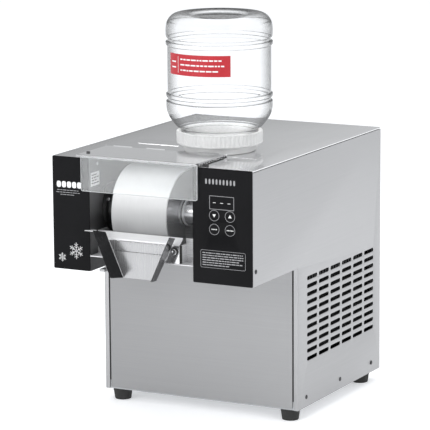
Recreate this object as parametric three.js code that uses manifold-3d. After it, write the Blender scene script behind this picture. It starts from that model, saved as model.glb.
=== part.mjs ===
// Countertop shaved ice machine: a chilled drum turns in a water trough, a blade scrapes the ice off it,
// and the snow falls down a chute into a bowl that stands under the overhanging head.
// Millimetres. Inside the machine's group, x runs right from the cabinet's centre line, y runs back from
// the front of the head, and z runs up from the underside of the shell.
import * as THREE from "three";
import { mergeVertices } from "three/addons/utils/BufferGeometryUtils.js";
import Module from "manifold-3d";

const wasm = await Module();
wasm.setup();

// ---------------------------------------------------------------- driving dimensions
const DEPTH = 480; // front of the head to the rear panel
const BASE_HEIGHT = 232; // underside of the shell to the underside of the head
const OVERHANG = 160; // how far the head stands out over the bowl
const SHEET = 1.5; // cabinet sheet
const GAP = 0.3; // between pieces that touch
const SEAM = 0.8; // open line between the top cover and the side panels
const TOP_SHEET = 2.2; // top cover and bottle seat
const FASCIA_THICKNESS = 2;
const FLANGE = 7.6; // front flange of each side panel
const PANEL_REVEAL = 2.5; // dark line each side of the base front panel

const DRUM_RADIUS = 71.2;
const DRUM_LENGTH = 97.6;
const DRUM_WALL = 3;
const DRUM_FRONT_CLEARANCE = 8.8; // drum to the front plane of the head
const DRUM_LEFT_CLEARANCE = 33.8; // drum to the left chamber wall
const DRUM_RIGHT_CLEARANCE = 51.1; // drum to the right chamber wall
const DRUM_HEADROOM = 16.9; // drum to the top of the cabinet
const SHAFT_RADIUS = 19;
const SHAFT_CLEARANCE = 0.5; // shaft in its bearings

const LEFT_POD = 65.5; // width of the left pod
const RIGHT_POD = 102; // width of the right pod, which holds the drive and the controls

const TROUGH_UNDERSIDE = 14.5; // trough above the underside of the head
const TROUGH_WALL = 1.5;
const TROUGH_CLEARANCE = 4.6; // drum to the trough's floor
const TROUGH_SETBACK = 26; // trough's front wall behind the front of the head
const TROUGH_RIM = 36.5; // height of the front wall above the ledge
const LEDGE = 11; // ledge above the trough's underside

const BLADE_THICKNESS = 2.5;
const BLADE_CLEARANCE = 0.5; // blade edge to the drum
const HOLDER_THICKNESS = 2;
const HOLDER_PAST_DRUM = { left: 9.8, right: 27.1 };
const GASKET_THICKNESS = 4.3;
const THUMB_SCREW_RADIUS = 5;

const CHUTE_SHEET = 1.5;
const CHUTE_REACH = 30; // how far the wings stand out in front
const CHUTE_BELOW_HEAD = 4; // lower end of the chute below the underside of the head
const CHUTE_PAST_DRUM = { left: 4.9, right: 21.5 }; // at the top of the chute
const CHUTE_SLOPE = { left: 0.437, right: 0.484 }; // sideways for each millimetre down
const WING_LEAN = { bottom: 6.3, top: 6 }; // front edge of a wing out past its back edge
const WING_RISE = { bottom: 4, top: 7 }; // front edge of a wing above its back edge

const LID_RISE = 4.4; // top of the lid above the top cover
const LID_SHEET = 1.2;
const LID_LEFT_LAP = 22; // lid past the left chamber wall
const LID_RIGHT_LAP = 6; // lid past the right chamber wall
const LID_DEPTH = 96.5;
const GUARD_THICKNESS = 3;
const GUARD_DROP = 52; // clear guard below the top of the cabinet
const GUARD_CORNER = 4;
const GUARD_LEFT_LAP = 12;
const GUARD_RIGHT_LAP = 10;
const HINGE_PIN_RADIUS = 1.2;
const HINGE_BARREL_RADIUS = 2.4;
const HINGE_RISE = 2.8; // hinge axis above the top cover
const HINGE_CLEARANCE = 0.4;

const BOTTLE_RADIUS = 84.5;
const BOTTLE_WALL = 2;
const BOTTLE_RECESS = 5.5; // depth of the hollow in the bottle's upturned base
const BOTTLE_HEIGHT = 218.7; // cap underside to the rim at the top
const CAP_RADIUS = 68.4;
const CAP_FOOT_RADIUS = 57;
const CAP_TOP = 32;
const NECK_RADIUS = 62;
const NECK_BOTTOM = 14;
const VALVE_STEM_RADIUS = 6;

const BOTTLE_FROM_RIGHT_WALL = 34.4; // bottle axis left of the right chamber wall
const BOTTLE_BEHIND_DRUM = 8.1; // bottle axis behind the back of the drum
const FEED_TUBE_RADIUS = 7;
const FEED_TUBE_TO_BACK_WALL = 2.7;

const SLOT_LENGTH = 37.8;
const SLOT_HEIGHT = 6.3;
const SLOT_COLUMN_GAP = 6.3;
const SLOT_ROW_PITCH = 13.15;
const SLOT_COLUMNS = 6;
const SLOT_ROWS = 11;
const GRILLE_FROM_BASE_FRONT = 34; // base front plane to the first slot
const GRILLE_BELOW_HEAD = 19.5; // top slot below the underside of the head
const REAR_SLOT_ROWS = 6;
const REAR_SLOT_COLUMNS = 4;

const BUTTON_RADIUS = 9.1;
const BUTTON_CLEARANCE = 0.3;
const BUTTON_TRAVEL = 0.6;
const FOOT_TOP_RADIUS = 15.75;
const FOOT_BOTTOM_RADIUS = 13.5;
const FOOT_HEIGHT = 19;
const FOOT_INSET_X = 22;
const FOOT_INSET_FRONT = 18;
const FOOT_INSET_REAR = 32;
const SCREW_RADIUS = 3.6;
const SCREW_HEAD = 0.9;

const FAN_CLEARANCE = 4;
const FAN_BELOW_CONDENSER_TOP = 16; // fan tip below the condenser's top edge
const COMPRESSOR_RADIUS = 62;
const PIPE_RADIUS = 4;
const PIPE_END_GAP = 1.5; // end of a pipe to what it joins

// ---------------------------------------------------------------- worked-out places
const WIDTH = LEFT_POD + DRUM_LEFT_CLEARANCE + DRUM_LENGTH + DRUM_RIGHT_CLEARANCE + RIGHT_POD;
const SIDE = WIDTH / 2;
const MOUTH_LEFT = -SIDE + LEFT_POD;
const MOUTH_RIGHT = SIDE - RIGHT_POD;
const DRUM_LEFT = MOUTH_LEFT + DRUM_LEFT_CLEARANCE;
const DRUM_RIGHT = DRUM_LEFT + DRUM_LENGTH;
const TROUGH_BOTTOM = BASE_HEIGHT + TROUGH_UNDERSIDE;
const TROUGH_FLOOR = TROUGH_BOTTOM + TROUGH_WALL;
const DRUM_Y = DRUM_FRONT_CLEARANCE + DRUM_RADIUS;
const DRUM_Z = TROUGH_FLOOR + TROUGH_CLEARANCE + DRUM_RADIUS;
const TOP = DRUM_Z + DRUM_RADIUS + DRUM_HEADROOM;
const TOP_UNDERSIDE = TOP - TOP_SHEET;
const INNER_SIDE = SIDE - SHEET - GAP; // what sits between the side panels
const HEAD_INNER_FRONT = FASCIA_THICKNESS + GAP;
const BASE_INNER_FRONT = OVERHANG + SHEET + GAP;
const INNER_REAR = DEPTH - SHEET - GAP;
const DECK_TOP = BASE_HEIGHT - 0.1;
const BOTTLE_X = MOUTH_RIGHT - BOTTLE_FROM_RIGHT_WALL;
const BOTTLE_Y = DRUM_Y + DRUM_RADIUS + BOTTLE_BEHIND_DRUM;
const BOTTLE_Z = TOP + GAP;
const CHAMBER_BACK = BOTTLE_Y + FEED_TUBE_RADIUS + FEED_TUBE_TO_BACK_WALL;
const LEDGE_Z = TROUGH_BOTTOM + LEDGE;
const BOWL_SPACE_TOP = BASE_HEIGHT - CHUTE_BELOW_HEAD;

// ---------------------------------------------------------------- solids
function toSolid(geometry) {
  const bare = geometry.clone();
  bare.deleteAttribute("normal");
  bare.deleteAttribute("uv");
  const merged = mergeVertices(bare, 1e-4);
  const corners = [];
  for (let i = 0; i < merged.index.count; i += 3) {
    const [a, b, c] = [0, 1, 2].map((k) => merged.index.getX(i + k));
    if (a !== b && b !== c && c !== a) corners.push(a, b, c);
  }
  return new wasm.Manifold(
    new wasm.Mesh({
      numProp: 3,
      vertProperties: new Float32Array(merged.attributes.position.array),
      triVerts: new Uint32Array(corners),
    }),
  );
}

function toGeometry(solid) {
  const mesh = solid.getMesh();
  const geometry = new THREE.BufferGeometry();
  geometry.setAttribute("position", new THREE.BufferAttribute(mesh.vertProperties, 3));
  geometry.setIndex(new THREE.BufferAttribute(mesh.triVerts, 1));
  const faceted = geometry.toNonIndexed();
  faceted.computeVertexNormals();
  return faceted;
}

// A block between two opposite corners.
function block([x0, y0, z0], [x1, y1, z1]) {
  const geometry = new THREE.BoxGeometry(x1 - x0, y1 - y0, z1 - z0);
  geometry.translate((x0 + x1) / 2, (y0 + y1) / 2, (z0 + z1) / 2);
  return toSolid(geometry);
}

const AXIS = {
  x: new THREE.Vector3(1, 0, 0),
  y: new THREE.Vector3(0, 1, 0),
  z: new THREE.Vector3(0, 0, 1),
};
// For each direction of extrusion, where the outline's two coordinates go.
const OUTLINE_FRAME = {
  x: new THREE.Matrix4().makeBasis(AXIS.y, AXIS.z, AXIS.x),
  y: new THREE.Matrix4().makeBasis(AXIS.z, AXIS.x, AXIS.y),
  z: new THREE.Matrix4().makeBasis(AXIS.x, AXIS.y, AXIS.z),
};

// An outline pushed along an axis. Along x it is drawn in (y, z), along y in (z, x), along z in (x, y).
function prism(axis, outline, from, to) {
  const shape = Array.isArray(outline)
    ? new THREE.Shape(outline.map(([a, b]) => new THREE.Vector2(a, b)))
    : outline;
  const geometry = new THREE.ExtrudeGeometry(shape, {
    depth: to - from,
    bevelEnabled: false,
    curveSegments: 5,
  });
  geometry.translate(0, 0, from);
  geometry.applyMatrix4(OUTLINE_FRAME[axis]);
  return toSolid(geometry);
}

// A rectangle with round corners, for prism.
function roundedOutline(a0, b0, a1, b1, radius) {
  const shape = new THREE.Shape();
  shape.moveTo(a0 + radius, b0);
  shape.lineTo(a1 - radius, b0);
  shape.absarc(a1 - radius, b0 + radius, radius, -Math.PI / 2, 0);
  shape.lineTo(a1, b1 - radius);
  shape.absarc(a1 - radius, b1 - radius, radius, 0, Math.PI / 2);
  shape.lineTo(a0 + radius, b1);
  shape.absarc(a0 + radius, b1 - radius, radius, Math.PI / 2, Math.PI);
  shape.lineTo(a0, b0 + radius);
  shape.absarc(a0 + radius, b0 + radius, radius, Math.PI, Math.PI * 1.5);
  return shape;
}

// A closed profile of [radius, height] points turned round an axis through a point.
function turned(axis, [x, y, z], profile, segments = 24) {
  let twiceArea = 0;
  profile.forEach(([r0, h0], i) => {
    const [r1, h1] = profile[(i + 1) % profile.length];
    twiceArea += r0 * h1 - r1 * h0;
  });
  const ordered = twiceArea > 0 ? [...profile] : [...profile].reverse();
  const onAxis = ordered.filter(([r]) => r === 0).length;
  if (onAxis) while (!(ordered[0][0] === 0 && ordered.at(-1)[0] === 0)) ordered.push(ordered.shift());
  else ordered.push(ordered[0]);
  const geometry = new THREE.LatheGeometry(
    ordered.map(([r, h]) => new THREE.Vector2(r, h)),
    segments,
  );
  if (axis === "x") geometry.rotateZ(-Math.PI / 2);
  if (axis === "z") geometry.rotateX(Math.PI / 2);
  geometry.translate(x, y, z);
  return toSolid(geometry);
}

// A plain round bar along an axis, from one end to the other.
function bar(axis, [x, y, z], radius, from, to, segments = 24) {
  return turned(axis, [x, y, z], [[0, from], [radius, from], [radius, to], [0, to]], segments);
}

// A solid with six faces from its lower and upper four corners, each set going anticlockwise from above.
function sixFaced(lower, upper) {
  const geometry = new THREE.BufferGeometry();
  geometry.setAttribute(
    "position",
    new THREE.Float32BufferAttribute([...lower, ...upper].flat(), 3),
  );
  const faces = [0, 2, 1, 0, 3, 2, 4, 5, 6, 4, 6, 7];
  for (let i = 0; i < 4; i++) {
    const j = (i + 1) % 4;
    faces.push(i, j, j + 4, i, j + 4, i + 4);
  }
  geometry.setIndex(faces);
  return toSolid(geometry);
}

// A round pipe along a smooth curve through points.
function pipe(points, radius, steps = 24) {
  const path = new THREE.CatmullRomCurve3(points.map((p) => new THREE.Vector3(...p)));
  const section = new THREE.Shape().absarc(0, 0, radius, 0, Math.PI * 2);
  return toSolid(
    new THREE.ExtrudeGeometry(section, {
      steps,
      curveSegments: 4,
      bevelEnabled: false,
      extrudePath: path,
    }),
  );
}

// ---------------------------------------------------------------- finishes
const finish = (color, roughness, metalness, more = {}) =>
  new THREE.MeshStandardMaterial({ color, roughness, metalness, ...more });
const FINISH = {
  steel: () => finish(0xb4b5b8, 0.32, 1),
  polished: () => finish(0xd5d6d8, 0.12, 1),
  galvanised: () => finish(0x9a9c9e, 0.5, 1),
  gloss: () => finish(0x1c1c1e, 0.12, 0),
  blackPlastic: () => finish(0x17171a, 0.5, 0),
  rubber: () => finish(0x121213, 0.85, 0),
  frosted: () => finish(0xe6e8ea, 0.45, 0.9),
  clear: () => finish(0xf2f6f8, 0.05, 0, { transparent: true, opacity: 0.3 }),
  milky: () => finish(0xf1f2f0, 0.4, 0),
  red: () => finish(0xc41f2e, 0.4, 0),
  board: () => finish(0x1e5a36, 0.5, 0),
  copper: () => finish(0xb87346, 0.3, 1),
  blackPaint: () => finish(0x101012, 0.35, 0.2),
  fins: () => finish(0xa9adb0, 0.4, 1),
};

const machine = new THREE.Group();
machine.name = "machine";

function place(name, solid, material) {
  const mesh = new THREE.Mesh(toGeometry(solid), material);
  mesh.name = name;
  machine.add(mesh);
}

// ---------------------------------------------------------------- cabinet
// A side panel is one L-shaped sheet that covers head and base, bent in at the front of the base.
function sidePanel(outward) {
  const [outer, inner] = [outward * SIDE, outward * (SIDE - SHEET)];
  const outline = [
    [OVERHANG, 0],
    [DEPTH, 0],
    [DEPTH, TOP_UNDERSIDE - SEAM],
    [HEAD_INNER_FRONT, TOP_UNDERSIDE - SEAM],
    [HEAD_INNER_FRONT, BASE_HEIGHT],
    [OVERHANG, BASE_HEIGHT],
  ];
  const sheet = prism("x", outline, Math.min(outer, inner), Math.max(outer, inner));
  const flangeEdge = outward * (SIDE - FLANGE);
  const flange = block(
    [Math.min(outer, flangeEdge), OVERHANG, 0],
    [Math.max(outer, flangeEdge), OVERHANG + SHEET, BASE_HEIGHT],
  );
  return sheet.add(flange);
}

// A slot with cut corners, drawn in an outline's two coordinates.
function slotOutline(a0, b0, length, height) {
  const cut = Math.min(length, height) * 0.3;
  return [
    [a0 + cut, b0],
    [a0 + length - cut, b0],
    [a0 + length, b0 + cut],
    [a0 + length, b0 + height - cut],
    [a0 + length - cut, b0 + height],
    [a0 + cut, b0 + height],
    [a0, b0 + height - cut],
    [a0, b0 + cut],
  ];
}

const GRILLE_TOP = BASE_HEIGHT - GRILLE_BELOW_HEAD;
const SLOT_COLUMN_PITCH = SLOT_LENGTH + SLOT_COLUMN_GAP;
const GRILLE_BOTTOM = GRILLE_TOP - SLOT_HEIGHT - (SLOT_ROWS - 1) * SLOT_ROW_PITCH;

function sideGrille() {
  const slots = [];
  for (let row = 0; row < SLOT_ROWS; row++)
    for (let column = 0; column < SLOT_COLUMNS; column++) {
      const y = OVERHANG + GRILLE_FROM_BASE_FRONT + column * SLOT_COLUMN_PITCH;
      const z = GRILLE_BOTTOM + row * SLOT_ROW_PITCH;
      slots.push(prism("x", slotOutline(y, z, SLOT_LENGTH, SLOT_HEIGHT), SIDE - SHEET - 1, SIDE + 1));
    }
  return wasm.Manifold.union(slots);
}

const SIDE_SCREWS = [
  ["front", OVERHANG + 31, 16.5],
  ["middle", (OVERHANG + DEPTH) / 2, 16.5],
  ["rear", DEPTH - 35, 16.5],
  ["head", 11.4, BASE_HEIGHT + 23],
];

function screwHoles(outward) {
  const holes = SIDE_SCREWS.map(([, y, z]) =>
    bar("x", [outward * SIDE, y, z], SCREW_RADIUS / 2 + GAP, -SHEET - 1, SHEET + 1, 12),
  );
  return wasm.Manifold.union(holes);
}

// A drain lip stands out from the left panel's flange, under the head.
const DRAIN_LIP = { length: 18, width: 10, z: BASE_HEIGHT - 33, thickness: 4, floor: 1.5, wall: 2 };
function drainLip() {
  const left = -SIDE + 0.5;
  const back = OVERHANG - GAP;
  const front = back - DRAIN_LIP.length;
  const top = DRAIN_LIP.z + DRAIN_LIP.thickness;
  const tray = block([left, front, DRAIN_LIP.z], [left + DRAIN_LIP.width, back, top]);
  const channel = block(
    [left + DRAIN_LIP.wall, front + DRAIN_LIP.wall, DRAIN_LIP.z + DRAIN_LIP.floor],
    [left + DRAIN_LIP.width - DRAIN_LIP.wall, OVERHANG, top + 1],
  );
  const root = block([left, back - 0.5, DRAIN_LIP.z], [-SIDE + FLANGE, OVERHANG + 0.5, top]);
  return tray.subtract(channel).add(root);
}
place("left_side_panel", sidePanel(-1).subtract(screwHoles(-1)).add(drainLip()), FINISH.steel());
place("right_side_panel", sidePanel(1).subtract(screwHoles(1)).subtract(sideGrille()), FINISH.steel());

for (const [side, outward] of [["left", -1], ["right", 1]])
  for (const [where, y, z] of SIDE_SCREWS) {
    const profile = [
      [0, -SHEET - 4],
      [SCREW_RADIUS / 2, -SHEET - 4],
      [SCREW_RADIUS / 2, GAP],
      [SCREW_RADIUS, GAP],
      [SCREW_RADIUS * 0.8, SCREW_HEAD + GAP],
      [0, SCREW_HEAD + GAP],
    ].map(([r, h]) => [r, h * outward]);
    place(`${side}_${where}_screw`, turned("x", [outward * SIDE, y, z], profile, 10), FINISH.polished());
  }

const PANEL_SIDE = SIDE - FLANGE - PANEL_REVEAL;
place(
  "base_front_panel",
  block([-PANEL_SIDE, OVERHANG, PANEL_REVEAL], [PANEL_SIDE, OVERHANG + SHEET, BASE_HEIGHT - 2]),
  FINISH.steel(),
);

// The tray stands the refrigeration parts up inside the base.
const TRAY_RIM = 14;
place(
  "base_tray",
  block([-INNER_SIDE, BASE_INNER_FRONT, 0], [INNER_SIDE, INNER_REAR, TRAY_RIM]).subtract(
    block(
      [-INNER_SIDE + SHEET, BASE_INNER_FRONT + SHEET, SHEET],
      [INNER_SIDE - SHEET, INNER_REAR - SHEET, TRAY_RIM + 1],
    ),
  ),
  FINISH.galvanised(),
);

place(
  "deck_plate",
  block([-INNER_SIDE, BASE_INNER_FRONT, DECK_TOP - SHEET], [INNER_SIDE, INNER_REAR, DECK_TOP]),
  FINISH.galvanised(),
);

// Rear panel with its own vents and the power inlet's cut-out.
const INLET = { x: -SIDE + 55, z: 62, width: 48, height: 28 };

function rearPanel() {
  const slots = [];
  const fieldWidth = REAR_SLOT_COLUMNS * SLOT_COLUMN_PITCH - SLOT_COLUMN_GAP;
  for (let row = 0; row < REAR_SLOT_ROWS; row++)
    for (let column = 0; column < REAR_SLOT_COLUMNS; column++) {
      const x = -fieldWidth / 2 + column * SLOT_COLUMN_PITCH;
      const z = GRILLE_TOP - SLOT_HEIGHT - row * SLOT_ROW_PITCH;
      slots.push(prism("y", slotOutline(z, x, SLOT_HEIGHT, SLOT_LENGTH), DEPTH - SHEET - 1, DEPTH + 1));
    }
  const sheet = block([-INNER_SIDE, DEPTH - SHEET, 0], [INNER_SIDE, DEPTH, TOP_UNDERSIDE - SEAM]);
  const inletHole = block(
    [INLET.x - INLET.width / 2, DEPTH - SHEET - 1, INLET.z - INLET.height / 2],
    [INLET.x + INLET.width / 2, DEPTH + 1, INLET.z + INLET.height / 2],
  );
  return sheet.subtract(wasm.Manifold.union(slots)).subtract(inletHole);
}
place("rear_panel", rearPanel(), FINISH.steel());

// The inlet sits flush in the panel, with its flange inside and three blade contacts in a shallow well.
function powerInlet() {
  const half = [INLET.width / 2 - GAP, INLET.height / 2 - GAP];
  const body = block(
    [INLET.x - half[0], DEPTH - 26, INLET.z - half[1]],
    [INLET.x + half[0], DEPTH - 0.2, INLET.z + half[1]],
  );
  const flange = block(
    [INLET.x - half[0] - 6, DEPTH - SHEET - GAP - 2, INLET.z - half[1] - 5],
    [INLET.x + half[0] + 6, DEPTH - SHEET - GAP, INLET.z + half[1] + 5],
  );
  const well = prism(
    "y",
    [
      [INLET.z - 8, INLET.x - 12.5],
      [INLET.z + 4, INLET.x - 12.5],
      [INLET.z + 8, INLET.x - 8.5],
      [INLET.z + 8, INLET.x + 8.5],
      [INLET.z + 4, INLET.x + 12.5],
      [INLET.z - 8, INLET.x + 12.5],
    ],
    DEPTH - 18,
    DEPTH + 1,
  );
  const contacts = [[-7, -3], [0, 3], [7, -3]].map(([dx, dz]) =>
    block(
      [INLET.x + dx - 1, DEPTH - 19, INLET.z + dz - 2],
      [INLET.x + dx + 1, DEPTH - 3, INLET.z + dz + 2],
    ),
  );
  return wasm.Manifold.union([body.add(flange).subtract(well), ...contacts]);
}
place("power_inlet", powerInlet(), FINISH.blackPlastic());

// ---------------------------------------------------------------- top of the head
const LID_LEFT = MOUTH_LEFT - LID_LEFT_LAP;
const LID_RIGHT = MOUTH_RIGHT + LID_RIGHT_LAP;
const HINGE_Y = LID_DEPTH + 2.1;
const HINGE_Z = TOP + HINGE_RISE;
const SEAT_FRONT = BOTTLE_Y - CAP_FOOT_RADIUS + 1.5;
const SEAT_REAR = BOTTLE_Y + CAP_FOOT_RADIUS - 6.3;
const SEAT_SIDE = -LID_LEFT;
const SEAT_LINE = 0.5; // open line round the bottle seat
const SEAT_HOLE_RADIUS = FEED_TUBE_RADIUS + 1;
const TOP_MOUTH_BACK = LID_DEPTH - 4.5;

function topCover() {
  const sheet = block([-SIDE, HEAD_INNER_FRONT, TOP_UNDERSIDE], [SIDE, DEPTH, TOP]);
  const mouth = block([MOUTH_LEFT, -1, TOP_UNDERSIDE - 1], [MOUTH_RIGHT, TOP_MOUTH_BACK, TOP + 1]);
  const seat = block(
    [-SEAT_SIDE - SEAT_LINE, SEAT_FRONT - SEAT_LINE, TOP_UNDERSIDE - 1],
    [SEAT_SIDE + SEAT_LINE, SEAT_REAR + SEAT_LINE, TOP + 1],
  );
  return sheet.subtract(mouth).subtract(seat);
}
place("top_cover", topCover(), FINISH.steel());

// The bottle's seat: a flush plate with a bead, and a pin on a bridge that opens the cap's valve.
const PIN_RADIUS = 3;
const VALVE_BOTTOM = 3;
function bottleSeat() {
  const plate = block([-SEAT_SIDE, SEAT_FRONT, TOP_UNDERSIDE], [SEAT_SIDE, SEAT_REAR, TOP]);
  const hole = bar("z", [BOTTLE_X, BOTTLE_Y, TOP], SEAT_HOLE_RADIUS, -TOP_SHEET - 1, 1, 24);
  const bridge = block(
    [BOTTLE_X - SEAT_HOLE_RADIUS - 1, BOTTLE_Y - 1.5, TOP_UNDERSIDE],
    [BOTTLE_X + SEAT_HOLE_RADIUS + 1, BOTTLE_Y + 1.5, TOP],
  );
  const pin = bar("z", [BOTTLE_X, BOTTLE_Y, TOP], PIN_RADIUS, -1, VALVE_BOTTOM - GAP, 16);
  const bead = block(
    [-SEAT_SIDE + 22, BOTTLE_Y + 1.6, TOP - 0.5],
    [BOTTLE_X - CAP_RADIUS - 6, BOTTLE_Y + 4, TOP + 0.6],
  );
  return wasm.Manifold.union([plate.subtract(hole), bridge, pin, bead, feedTube()]);
}

// The tube under the seat takes water down beside the drum into the trough.
const FEED_TUBE_WALL = 1.5;
const FEED_TUBE_BELOW_AXIS = 26; // open end below the drum's axis
function feedTube() {
  return turned("z", [BOTTLE_X, BOTTLE_Y, 0], [
    [FEED_TUBE_RADIUS - FEED_TUBE_WALL, DRUM_Z - FEED_TUBE_BELOW_AXIS],
    [FEED_TUBE_RADIUS, DRUM_Z - FEED_TUBE_BELOW_AXIS],
    [FEED_TUBE_RADIUS, TOP_UNDERSIDE - 6],
    [SEAT_HOLE_RADIUS + 2, TOP_UNDERSIDE - 4],
    [SEAT_HOLE_RADIUS + 2, TOP_UNDERSIDE + 0.5],
    [SEAT_HOLE_RADIUS, TOP_UNDERSIDE + 0.5],
    [SEAT_HOLE_RADIUS, TOP_UNDERSIDE - 2],
    [FEED_TUBE_RADIUS - FEED_TUBE_WALL, TOP_UNDERSIDE - 5],
  ], 24);
}
place("bottle_seat", bottleSeat(), FINISH.steel());

// ---------------------------------------------------------------- pods and chamber
// Each pod's inner sheet is one bent piece: the chamber wall and the pod's floor.
function podShell(wallX, outward, holeRadius) {
  const wall = block(
    [Math.min(wallX, wallX + outward * SHEET), HEAD_INNER_FRONT, BASE_HEIGHT],
    [Math.max(wallX, wallX + outward * SHEET), CHAMBER_BACK, TOP_UNDERSIDE - GAP],
  );
  const floorEnd = outward * INNER_SIDE;
  const floor = block(
    [Math.min(wallX, floorEnd), HEAD_INNER_FRONT, BASE_HEIGHT],
    [Math.max(wallX, floorEnd), OVERHANG + SHEET, BASE_HEIGHT + SHEET],
  );
  const hole = bar("x", [wallX, DRUM_Y, DRUM_Z], holeRadius, -SHEET - 2, SHEET + 2);
  return wall.add(floor).subtract(hole);
}
const POD_HOLE_RADIUS = SHAFT_RADIUS + 1.5;
place("left_pod_shell", podShell(MOUTH_LEFT, -1, POD_HOLE_RADIUS), FINISH.gloss());
place("right_pod_shell", podShell(MOUTH_RIGHT, 1, POD_HOLE_RADIUS), FINISH.steel());

place(
  "chamber_back_wall",
  block(
    [MOUTH_LEFT - SHEET, CHAMBER_BACK + GAP, DECK_TOP + GAP],
    [MOUTH_RIGHT + SHEET, CHAMBER_BACK + GAP + SHEET, TOP_UNDERSIDE - GAP],
  ),
  FINISH.steel(),
);

// Blade: from just off the drum it slopes forward and down to the holder's top edge.
const HOLDER_FRONT = 0.6;
const HOLDER_LEFT = DRUM_LEFT - HOLDER_PAST_DRUM.left;
const HOLDER_RIGHT = DRUM_RIGHT + HOLDER_PAST_DRUM.right;
const HOLDER_BOTTOM = LEDGE_Z + GAP;
const BLADE_DROP = 27.3; // blade edge below the drum's axis
const BLADE_EDGE_Z = DRUM_Z - BLADE_DROP;
const BLADE_EDGE_Y =
  DRUM_Y - Math.sqrt((DRUM_RADIUS + BLADE_CLEARANCE) ** 2 - BLADE_DROP ** 2);
const BLADE_TOE_Z = BLADE_EDGE_Z - 8;
const HOLDER_TOP = BLADE_TOE_Z - BLADE_THICKNESS - GAP;
const GASKET_FRONT = HOLDER_FRONT + HOLDER_THICKNESS + GAP;
const POCKET_FRONT = GASKET_FRONT + GASKET_THICKNESS + GAP; // front of the trough under the blade

place(
  "scraper_blade",
  prism(
    "x",
    [
      [HOLDER_FRONT - 0.4, BLADE_TOE_Z - BLADE_THICKNESS],
      [BLADE_EDGE_Y - 3, BLADE_EDGE_Z - BLADE_THICKNESS - 1.6],
      [BLADE_EDGE_Y - 0.4, BLADE_EDGE_Z - 1.2],
      [BLADE_EDGE_Y, BLADE_EDGE_Z],
      [BLADE_EDGE_Y - 0.6, BLADE_EDGE_Z + 0.1],
      [HOLDER_FRONT - 0.4, BLADE_TOE_Z],
    ],
    HOLDER_LEFT,
    HOLDER_RIGHT,
  ),
  FINISH.polished(),
);

const THUMB_SCREW_Z = HOLDER_TOP - 8.8;
const THUMB_SCREW_X = [HOLDER_LEFT + 7.8, HOLDER_RIGHT - 8];
const STUD_RADIUS = 2;
const studHoles = wasm.Manifold.union(
  THUMB_SCREW_X.map((x) => bar("y", [x, 0, THUMB_SCREW_Z], STUD_RADIUS + GAP, -5, TROUGH_SETBACK, 12)),
);
place(
  "blade_holder",
  block(
    [HOLDER_LEFT, HOLDER_FRONT, HOLDER_BOTTOM],
    [HOLDER_RIGHT, HOLDER_FRONT + HOLDER_THICKNESS, HOLDER_TOP],
  ).subtract(studHoles),
  FINISH.polished(),
);
place(
  "blade_gasket",
  block(
    [HOLDER_LEFT, GASKET_FRONT, HOLDER_BOTTOM],
    [HOLDER_RIGHT + 1.5, GASKET_FRONT + GASKET_THICKNESS, HOLDER_TOP],
  ).subtract(studHoles),
  FINISH.rubber(),
);
["left", "right"].forEach((side, i) => {
  const profile = [
    [0, -5.5],
    [THUMB_SCREW_RADIUS - 1, -5.5],
    [THUMB_SCREW_RADIUS, -4.5],
    [THUMB_SCREW_RADIUS, -GAP],
    [STUD_RADIUS, -GAP],
    [STUD_RADIUS, GASKET_FRONT + GASKET_THICKNESS - HOLDER_FRONT - GAP],
    [0, GASKET_FRONT + GASKET_THICKNESS - HOLDER_FRONT - GAP],
  ];
  place(
    `${side}_thumb_screw`,
    turned("y", [THUMB_SCREW_X[i], HOLDER_FRONT, THUMB_SCREW_Z], profile, 16),
    FINISH.polished(),
  );
});

// Water trough: a pan round the lower part of the drum, with a pocket forward under the blade and a
// ledge across the front of the chamber.
const BEARING_FLANGE_RADIUS = 40;
const BEARING_FLANGE_THICKNESS = 5;
const TROUGH_RIM_Z = LEDGE_Z + TROUGH_RIM;
function waterTrough() {
  const [left, right] = [MOUTH_LEFT + GAP, MOUTH_RIGHT - GAP];
  const back = CHAMBER_BACK - GAP;
  const frontSlope = 26; // length of the sloping floor behind the front wall
  const panOutline = (inset, rim) => [
    [TROUGH_SETBACK + inset, LEDGE_Z - TROUGH_WALL + inset],
    [TROUGH_SETBACK + frontSlope, TROUGH_BOTTOM + inset],
    [back - frontSlope, TROUGH_BOTTOM + inset],
    [back - inset, LEDGE_Z - TROUGH_WALL + inset],
    [back - inset, rim],
    [TROUGH_SETBACK + inset, rim],
  ];
  const pan = prism("x", panOutline(0, TROUGH_RIM_Z), left, right);
  const [pocketLeft, pocketRight] = [HOLDER_LEFT + 1, HOLDER_RIGHT];
  const pocket = block(
    [pocketLeft, POCKET_FRONT, LEDGE_Z - TROUGH_WALL],
    [pocketRight, TROUGH_SETBACK + 1, HOLDER_TOP],
  );
  const ledge = block([left, GAP, LEDGE_Z - TROUGH_WALL], [right, TROUGH_SETBACK + 1, LEDGE_Z]);
  const inside = prism(
    "x",
    panOutline(TROUGH_WALL, TROUGH_RIM_Z + 1),
    left + TROUGH_WALL,
    right - TROUGH_WALL,
  );
  const pocketInside = block(
    [pocketLeft + TROUGH_WALL, POCKET_FRONT + TROUGH_WALL, LEDGE_Z],
    [pocketRight - TROUGH_WALL, TROUGH_SETBACK + TROUGH_WALL + 1, TROUGH_RIM_Z + 1],
  );
  const bearingRoom = bar(
    "x",
    [MOUTH_LEFT, DRUM_Y, DRUM_Z],
    BEARING_FLANGE_RADIUS + GAP,
    -1,
    BEARING_FLANGE_THICKNESS + 2 * GAP,
  );
  const drumRoom = bar("x", [0, DRUM_Y, DRUM_Z], DRUM_RADIUS + 1, DRUM_LEFT - 2, DRUM_RIGHT + 2, 48);
  return wasm.Manifold.union([pan, pocket, ledge])
    .subtract(inside)
    .subtract(pocketInside)
    .subtract(bearingRoom)
    .subtract(drumRoom);
}
place("water_trough", waterTrough(), FINISH.steel());

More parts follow.
